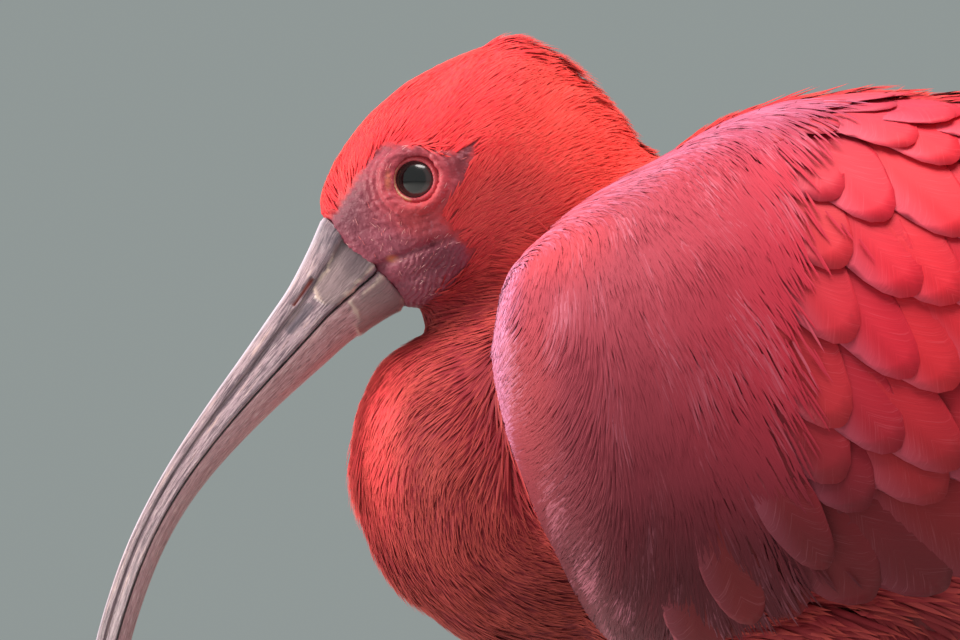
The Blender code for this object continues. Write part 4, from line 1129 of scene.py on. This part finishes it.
# Half sections from the ridge to the mouth: share of half width, share of the height.
UPPER_SECTION = [
    (0, 1), (0.30, 0.965), (0.56, 0.83), (0.66, 0.68), (0.56, 0.585), (0.74, 0.46), (0.95, 0.2),
    (1.0, 0.02), (0.6, 0.0), (0, 0),
]
LOWER_SECTION = [(0, 1), (0.38, 0.96), (0.74, 0.74), (0.95, 0.38), (0.99, 0.02), (0.6, 0), (0, 0)]
BILL_SECTION_POINTS = 30
# Seen from the side before the head turns: outlines of the basal plates, dark seams, nostril.
UPPER_PLATE = np.array([
    (-122.8, 261.9), (-126.8, 258.8), (-127.0, 257.3), (-127.9, 254.6), (-129.7, 252.2), (-130.2, 250.8),
    (-130.2, 249.2), (-128.6, 247.9), (-127.3, 247.7), (-125.7, 248.0), (-123.4, 249.6), (-121.6, 251.8),
    (-118.2, 255.2),
])
LOWER_PLATE = np.array([
    (-123.9, 248.3), (-122.3, 249.4), (-118.6, 253.0), (-116.4, 254.2), (-113.0, 251.5), (-113.0, 244.0),
    (-121.5, 242.0), (-122.7, 243.7), (-122.3, 246.1),
])
DARK_SEAMS = [
    ((-123.6, 261.4), (-118.6, 256.0), 1.0),
    ((-125.2, 264.4), (-123.8, 261.8), 0.8),
    ((-131.2, 247.4), (-134.6, 243.2), 1.1),
]
NOSTRIL = ((-130.5, 252.6), (-134.0, 247.8))


def sleeve(name, rings, closed=False):
    """A skin over rings of points in millimetres, with flat ends unless it closes on itself."""
    count, around = rings.shape[:2]
    lengths = count if closed else count - 1
    bm = bmesh.new()
    bmesh.ops.create_grid(bm, x_segments=around, y_segments=lengths, size=1)
    for v in bm.verts:
        row, spot = round((v.co.y + 1) / 2 * lengths), round((v.co.x + 1) / 2 * around)
        v.co = rings[row % count, spot % around] * MM
    bmesh.ops.remove_doubles(bm, verts=bm.verts, dist=1e-7)
    bmesh.ops.holes_fill(bm, edges=[e for e in bm.edges if e.is_boundary])
    bmesh.ops.recalc_face_normals(bm, faces=bm.faces)
    return new_piece(name, bm)


def near_segment(points, start, end, width):
    """1 on a line from start to end, falling softly to 0 beyond the width."""
    return 1 - eased(from_line(points, start, end)[0], 0.5 * width, 1.3 * width)


walk = np.arange(0, BILL_LENGTH + BILL_STEP, BILL_STEP)
heading = np.radians(smooth(BILL, walk[:-1] + BILL_STEP / 2)[:, 0])
steps = np.stack([-np.cos(heading), 0 * heading, -np.sin(heading)], 1) * BILL_STEP
bill_path = BILL_BASE + np.concatenate([np.zeros((1, 3)), np.cumsum(steps, axis=0)])
near_tip = BILL_LENGTH - 4
bill_runs = np.concatenate([
    np.arange(-1.2, 34, 0.4), np.arange(34, near_tip, 1.1), np.arange(near_tip, BILL_LENGTH, 0.5),
])
# Horn: worn smooth, so it has a low shine. Its streaks run along it, about 10 mm long and 0.4 mm
# apart, with finer threads between them and blotches of about 8 mm.
horn, tree, shader, place, run_at, girth_at, lower_at, plate_at, rim_at, dark_at, slit_at = new_material(
    "streaked_horn", "run", "girth", "lower", "plate", "rim", "dark", "slit",
)
along_bill = node(tree, "CombineXYZ", {0: run_at, 1: girth_at, 2: lower_at})
drawn_out = node(tree, "VectorMath", {0: along_bill, 1: (0.1, 15.0, 5.0)}, operation="MULTIPLY")
streaks, threads = (
    node(tree, "TexNoise", {"Vector": drawn_out, "Scale": scale, "Detail": 3.0, "Roughness": 0.6})
    for scale in (1.0, 4.2)
)
mottle = node(tree, "TexNoise", {"Vector": place, "Scale": 130.0, "Detail": 3.0})
colour = layered(tree, linear("A68E96"), [
    (mottle, 0.35, 0.75, 0.0, 0.4, "8A7076"),
    (run_at, 45.0, 105.0, 0.0, 0.75, "6E5A62"),
    (streaks, 0.48, 0.60, 0.0, 0.75, "54444E"),
    (streaks, 0.34, 0.44, 0.6, 0.0, "C8A8A0"),
    (lower_at, 0.0, 1.0, 0.0, 0.65, "C08C8E"),
    (threads, 0.52, 0.62, 0.0, 0.5, "3C2E38"),
    (threads, 0.36, 0.45, 0.45, 0.0, "D8C4C4"),
    (run_at, 1.0, 7.0, 0.5, 0.0, "5E5660"),
    # painted highlight: a pale line along the ridge of the upper sheath and the keel of the lower
    (girth_at, 0.0, 0.15, 0.9, 0.0, "E8DAEA"),
    (plate_at, 0.0, 1.0, 0.0, 0.7, "84706F"),
    (from_middle(tree, place, (-121.5, 0, 258.5), (3.5, 60, 5.5)), 0.4, 1.3, 0.6, 0.0, "5A4A52"),
    (dark_at, 0.0, 1.0, 0.0, 0.85, "4C444E"),
    (rim_at, 0.0, 1.0, 0.0, 0.9, "CDB4A6"),
    (slit_at, 0.0, 1.0, 0.0, 1.0, "8C3A30"),
])
bump = node(tree, "Bump", {"Height": threads, "Distance": 0.0004, "Strength": 0.6})
plug(tree, shader, {
    "Base Color": colour, "Roughness": 0.34, "Coat Weight": 0.15, "Coat Roughness": 0.25, "Normal": bump,
})
for word, section, is_lower in (("upper", UPPER_SECTION, 0), ("lower", LOWER_SECTION, 1)):
    runs = bill_runs[bill_runs < BILL_LENGTH - 1.5 * is_lower]
    table = smooth(BILL, runs)
    tilt = np.radians(table[:, 0] + table[:, 1])
    ups = np.stack([-np.sin(tilt), 0 * tilt, np.cos(tilt)], 1)
    middles = np.stack([np.interp(runs, walk, bill_path[:, n]) for n in range(3)], 1)
    middles[runs < 0] -= steps[0] / BILL_STEP * -runs[runs < 0, None]
    half_depth, half_width = table[:, 2], table[:, 3]
    mouth = half_depth * (1 - 2 * between(MOUTH, np.clip(runs / MOUTH_SETTLES, 0, 1)))
    gap = MOUTH_GAP / 2 * (-1 if is_lower else 1)
    reach = (-half_depth if is_lower else half_depth) - mouth - gap
    keys = np.linspace(0, len(section) - 1, BILL_SECTION_POINTS + 1)
    half = smooth([(n, *pair) for n, pair in enumerate(section)], keys)
    outline = np.concatenate([half, half[-2:0:-1] * (-1, 1)])
    girth = np.concatenate([keys, keys[-2:0:-1]]) / keys[-1]
    rings = middles[:, None] + ups[:, None] * (mouth + gap)[:, None, None]
    rings = rings + ups[:, None] * (reach[:, None] * outline[:, 1])[..., None]
    rings[..., 1] += half_width[:, None] * outline[:, 0]
    sheath = sleeve(word + "_sheath", rings)
    spots, out = shape_of(sheath.data)
    flat = rings.reshape(-1, 3)
    finder = KDTree(len(flat))
    for n, point in enumerate(flat):
        finder.insert(Vector(point), n)
    finder.balance()
    index = np.array([finder.find(Vector(p))[1] for p in spots])
    run, around = runs[index // len(outline)], girth[index % len(outline)]
    side_on = spots[:, [0, 2]]
    edge = depth_inside(side_on, LOWER_PLATE if is_lower else UPPER_PLATE)
    edge = edge + (0.35 * waver(spots, 1.6, 1.0) + 0.2 * waver(spots, 0.7, 4.0))
    raised = eased(edge, 0.0, 0.5)
    rim = eased(edge, -0.1, 0.25) * (1 - eased(edge, 0.4, 1.1)) * eased(waver(spots, 3.2, 2.0), -0.7, 0.2)
    dark = np.max([near_segment(side_on, *seam) for seam in DARK_SEAMS], axis=0) * (1 - is_lower)
    slit = near_segment(side_on, *NOSTRIL, 0.36) * (1 - is_lower) * (np.abs(spots[:, 1]) > 1)
    ledge = near_segment(side_on, *NOSTRIL, 1.0) * (1 - is_lower) - slit
    strands = np.sin(around * 38 + 1.5 * np.sin(run * 0.09)) * np.sin(around * 17 + run * 0.05)
    worn = 0.05 + 0.09 * eased(run, 20, 90)
    rise = raised * 0.24 + rim * 0.14 - slit * 0.9 + ledge * 0.12 + worn * strands * (around < 0.8)
    place_vertices(sheath.data, turned(spots + out * rise[:, None]))
    marked(
        sheath.data, run=run, girth=around, lower=0 * run + is_lower, plate=raised * 0.85, rim=rim * 0.8,
        dark=dark * 0.85, slit=slit,
    )
    sheath.data.materials.append(horn)
    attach(sheath, "root")
    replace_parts(sheath, "bill_" + word)

# Eyes: moist, nearly black brown balls that the lids hold in the skull, each turned to look out
# of its side of the head. The film of tears gives a sharp highlight over a dark, plain depth.
EYE_RADIUS = 5.6
eye_wet, tree, shader, place, off_axis = new_material("wet_dark_brown_eye", "off_axis")
colour = layered(tree, linear("0B0809"), [
    (off_axis, 2.2, 2.7, 0.0, 1.0, "3B2E2E"),
    (off_axis, 3.4, 3.75, 0.0, 1.0, "4A4145"),
    (off_axis, 3.85, 4.1, 0.0, 1.0, "D9A070"),
])
plug(tree, shader, {"Base Color": colour, "Roughness": 0.18, "Coat Weight": 1.0, "Coat Roughness": 0.09})
for side, word in SIDES:
    bm = bmesh.new()
    bmesh.ops.create_uvsphere(bm, u_segments=64, v_segments=48, radius=EYE_RADIUS * MM)
    aim = Vector(EYE_LOOKS * (1, side, 1)).to_track_quat("Z", "Y").to_matrix().to_4x4()
    centre = Matrix.Translation(Vector(EYE_CENTRE * (1, side, 1)) * MM)
    bmesh.ops.transform(bm, matrix=centre @ aim, verts=bm.verts)
    eyeball = new_piece("eyeball_" + word, bm)
    spots = shape_of(eyeball.data)[0]
    ahead, radius = round_the_eye(spots, side)
    marked(eyeball.data, off_axis=np.where(ahead > 0, radius, 9))
    place_vertices(eyeball.data, turned(spots))
    eyeball.data.materials.append(eye_wet)
    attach(eyeball, "root")
    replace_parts(eyeball, "eye_" + word)

# Eyelids: a thin moist rim against the eye and a thicker fold outside it, pinker than the face.
# They are soft skin, drawn round the eyeball as one closed ring, with pores of about 0.7 mm.
# Section from the eye outwards: distance from the eye's middle line, height above its centre.
LID_SECTION = [
    (3.62, 4.25), (3.72, 4.62), (4.05, 4.86), (4.45, 4.78), (4.85, 4.42), (5.3, 4.42),
    (5.8, 4.62), (6.3, 4.5), (6.9, 3.9), (6.2, 3.0), (4.6, 2.9), (3.8, 3.7),
]
LID_TURNS = 120
UP = np.array([0.0, 0.0, 1.0])
lid_skin, tree, shader, place, ring_at, front_at = new_material("moist_pink_eyelid", "ring", "front")
pores = node(tree, "TexNoise", {"Vector": place, "Scale": 1500.0, "Detail": 3.0})
colour = layered(tree, linear("CE4A55"), [
    (ring_at, 4.4, 5.0, 0.0, 1.0, "7C3340"),
    (ring_at, 5.2, 5.8, 0.0, 1.0, "B04E5E"),
    (pores, 0.5, 0.75, 0.0, 0.5, "E0808A"),
    (front_at, 0.0, 1.0, 0.0, 1.0, "F0C090"),
])
plug(tree, shader, {"Base Color": colour, "Roughness": 0.38})
for side, word in SIDES:
    centre, looks = EYE_CENTRE * (1, side, 1), EYE_LOOKS * (1, side, 1)
    across = unit(np.cross(looks, UP)) * side
    upward = np.cross(across, looks) * side
    section = [(n, *pair) for n, pair in enumerate(LID_SECTION)]
    section = smooth(section, np.linspace(0, len(LID_SECTION) - 1, 24))
    angles = np.linspace(0, 2 * np.pi, LID_TURNS, endpoint=False)
    beads = 0.05 * np.sin(31 * angles) + 0.04 * np.sin(53 * angles + 1) + 0.08 * np.sin(5 * angles)
    squash = 1 - 0.045 * np.abs(np.sin(angles)) ** 1.5
    radius = section[None, :, 0] * squash[:, None]
    height = section[None, :, 1] + beads[:, None] * (section[None, :, 1] > 3.9)
    away = across * np.cos(angles)[:, None] + upward * np.sin(angles)[:, None]
    loops = centre + away[:, None] * radius[..., None] + looks * height[..., None]
    eyelids = sleeve("eyelids_" + word, turned(loops), closed=True)
    spots = straight(shape_of(eyelids.data)[0])
    radius = round_the_eye(spots, side)[1]
    spots = spots - centre
    forward = eased(-spots[:, 0] - 0.35 * spots[:, 2], 3.0, 4.2)
    on_rim = 1 - eased(np.abs(radius - 4.05), 0.15, 0.5)
    marked(eyelids.data, ring=radius, front=forward * on_rim * 0.8)
    eyelids.data.materials.append(lid_skin)
    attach(eyelids, "root")
    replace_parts(eyelids, "head")

# Legs: rose-coloured bare legs with broad scutes in front, four long toes flat on the floor. Tough
# scaled skin lies tight over the bones, and each length runs into the next at its joint.
TIBIA_FEATHERED_TO = np.array([-7.0, 26.0, 147.0])
ANKLE = np.array([9.0, 28.0, 99.0])
FOOT_JOINT = np.array([-10.0, 30.0, 6.0])
SHANK_RADII = [(0, 3.4), (0.5, 3.1), (0.78, 3.5), (0.93, 4.9), (1.0, 5.0), (1.05, 4.4), (1.08, 2.6)]
TARSUS_RADII = [(0, 4.0), (0.08, 4.0), (0.16, 3.1), (0.5, 2.7), (0.85, 2.8), (0.95, 3.5), (1, 3.6)]
# Toes: turn from straight ahead (outwards is positive), length, half width at the root.
TOES = [(0, 62, 3.1), (-27, 46, 2.8), (29, 52, 2.8), (176, 30, 2.6)]
TOE_JOINTS = 3
CLAW_SHARE = 0.14
SCUTE, TOE_SCUTE = 2.6, 1.9  # height of the plates in front, and their length on the toes
TUCKED = 0.12  # share of the thigh's length that the bare skin runs up under its feathers

# Scaled skin: pale plates of about 1 mm with dark seams, dull like wax. The claws are black horn.
scaly, tree, shader, place = new_material("scaled_rose_leg_skin")
scales = node(tree, "TexVoronoi", {"Vector": place, "Scale": 900.0}, feature="DISTANCE_TO_EDGE")
mottle = node(tree, "TexNoise", {"Vector": place, "Scale": 220.0, "Detail": 3.0})
colour = layered(tree, linear("8A4148"), [
    (scales, 0.02, 0.12, 0.0, 1.0, "C5696D"),
    (mottle, 0.45, 0.75, 0.0, 0.4, "D98F8C"),
])
bump = node(tree, "Bump", {"Height": scales, "Distance": 0.0003, "Strength": 0.5})
plug(tree, shader, {"Base Color": colour, "Roughness": 0.5, "Normal": bump})
claw_horn, tree, shader, place = new_material("black_claw_horn")
plug(tree, shader, {"Base Color": linear("2B2224"), "Roughness": 0.3})


def limb(name, start, end, radii, scutes):
    """A round limb with broad plates across its front."""
    axis = unit(end - start)
    behind = unit(np.array([1.0, 0, 0]) - axis * axis[0])
    across = np.cross(axis, behind)
    length = np.linalg.norm(end - start)
    shares = np.linspace(0, radii[-1][0], int(length * radii[-1][0] / 0.5))
    angles = np.linspace(0, 2 * np.pi, 40, endpoint=False)
    front = np.clip(-np.cos(angles), 0, 1) ** 0.7
    saw = (shares * length / SCUTE) % 1
    step = (0.16 * (1 - saw) ** 1.5 - 0.22 * np.exp(-((np.minimum(saw, 1 - saw) / 0.08) ** 2))) * scutes
    radius = smooth(radii, shares) + step[:, None] * front
    away = behind * np.cos(angles)[:, None] + across * np.sin(angles)[:, None]
    rings = (start + (end - start) * shares[:, None])[:, None] + away * radius[..., None]
    made = sleeve(name, rings)
    made.data.materials.append(scaly)
    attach(made, "root")
    return made


for side, word in SIDES:
    ends = (HIP, TIBIA_FEATHERED_TO, ANKLE, FOOT_JOINT)
    hip, feathered_to, ankle, joint = (end * (1, side, 1) for end in ends)
    above = feathered_to + (hip - feathered_to) * TUCKED
    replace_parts(limb("shank_skin_" + word, above, ankle, SHANK_RADII, 0.6), "shank_" + word)
    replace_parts(limb("tarsus_skin_" + word, ankle, joint, TARSUS_RADII, 1.0), "tarsus_" + word)
    root = joint * (1, 1, 0)
    for number, (turn, length, half_width) in enumerate(TOES):
        heading = math.radians(turn)
        ahead = np.array([-math.cos(heading), side * math.sin(heading), 0])
        across = np.cross(ahead, UP)
        for kind, first, last in (("toe", 0.0, 1 - CLAW_SHARE), ("claw", 0.985 - CLAW_SHARE, 1.0)):
            share = np.linspace(first, last, int(length * (last - first) / 0.45) + 8)
            if kind == "toe":
                pad = 1 + 0.12 * np.cos(2 * np.pi * TOE_JOINTS * share)
                ends = 1 - 0.75 * eased(share, last - 0.02, last)
                width = half_width * (1 - 0.42 * share) * pad * ends
            else:
                width = half_width * 0.5 * np.sqrt(np.clip((1.0 - share) / CLAW_SHARE, 0.012, 1))
            saw = (share * length / TOE_SCUTE) % 1
            plates = 0.12 * (1 - saw) * (kind == "toe")
            height = width * 1.75 + plates
            angles = 2 * np.pi * (np.arange(28) + 0.5) / 28
            level = np.maximum(0.0, height[:, None] * (0.42 + 0.58 * np.sin(angles)))
            centre = root + ahead * (length * share)[:, None]
            spots = across * (width[:, None] * np.cos(angles))[..., None] + UP * level[..., None]
            made = sleeve(f"{kind}_{number}_{word}", centre[:, None] + spots)
            made.data.materials.append(scaly if kind == "toe" else claw_horn)
            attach(made, "root")
            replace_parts(made, "foot_" + word)
    bm = bmesh.new()
    bmesh.ops.create_uvsphere(bm, u_segments=32, v_segments=20, radius=1)
    bmesh.ops.scale(bm, vec=Vector((4.4, 4.4, 4.2)) * MM, verts=bm.verts)
    bmesh.ops.translate(bm, vec=Vector(joint) * MM, verts=bm.verts)
    knuckle = new_piece("foot_joint_" + word, bm)
    knuckle.data.materials.append(scaly)
    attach(knuckle, "root")
    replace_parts(knuckle, "foot_" + word)

# Studio: a pale round floor, a soft overhead light as bright sky gives, a weak one from the front
# and one behind that edges the crown and the foreneck.
FLOOR_RADIUS = 5500.0
CAMERA_PLACE = (-98.0, -2500.0, 245.0)
SEEN_WIDTH = 182.4  # of the picture, at the bird
SENSOR = 36.0
LIGHTS = [
    # name, place, size, watts, colour
    ("sky_panel", (0, -300, 1500), 1200, 29, "FFF6F2"),
    ("front_panel", (-900, -1500, 500), 900, 1.6, "F6F4FF"),
    ("rim_panel", (-1500, 0, 480), 500, 26, "FFF2EA"),
]

bm = bmesh.new()
bmesh.ops.create_circle(bm, cap_ends=True, segments=96, radius=FLOOR_RADIUS * MM)
floor = new_piece("floor", bm)
paper, tree, shader, place = new_material("pale_paper_floor")
plug(tree, shader, {"Base Color": linear("AEB2B0"), "Roughness": 0.9})
floor.data.materials.append(paper)

for name, spot, size, watts, colour in LIGHTS:
    lamp = bpy.data.lights.new(name, "AREA")
    lamp.shape, lamp.size, lamp.energy, lamp.color = "DISK", size * MM, watts, linear(colour)[:3]
    panel = in_scene(name, lamp)
    panel.location = Vector(spot) * MM
    panel.visible_glossy = name != "front_panel"
    aim = Vector((-60, 0, 230)) * MM - panel.location
    panel.rotation_euler = aim.to_track_quat("-Z", "Y").to_euler()

world = bpy.data.worlds.new("pale studio")
world.use_nodes = True
background = world.node_tree.nodes["Background"]
plug(world.node_tree, background, {"Color": linear("CFDAD8"), "Strength": 0.45})
bpy.context.scene.world = world
bpy.context.scene.view_settings.view_transform = "Standard"

lens = bpy.data.cameras.new("camera")
lens.sensor_width = SENSOR
lens.lens = SENSOR * -CAMERA_PLACE[1] / SEEN_WIDTH
lens.clip_start, lens.clip_end = 0.05, 60
camera = in_scene("camera", lens)
camera.location = Vector(CAMERA_PLACE) * MM
camera.rotation_euler = (math.pi / 2, 0, 0)
bpy.context.scene.camera = camera
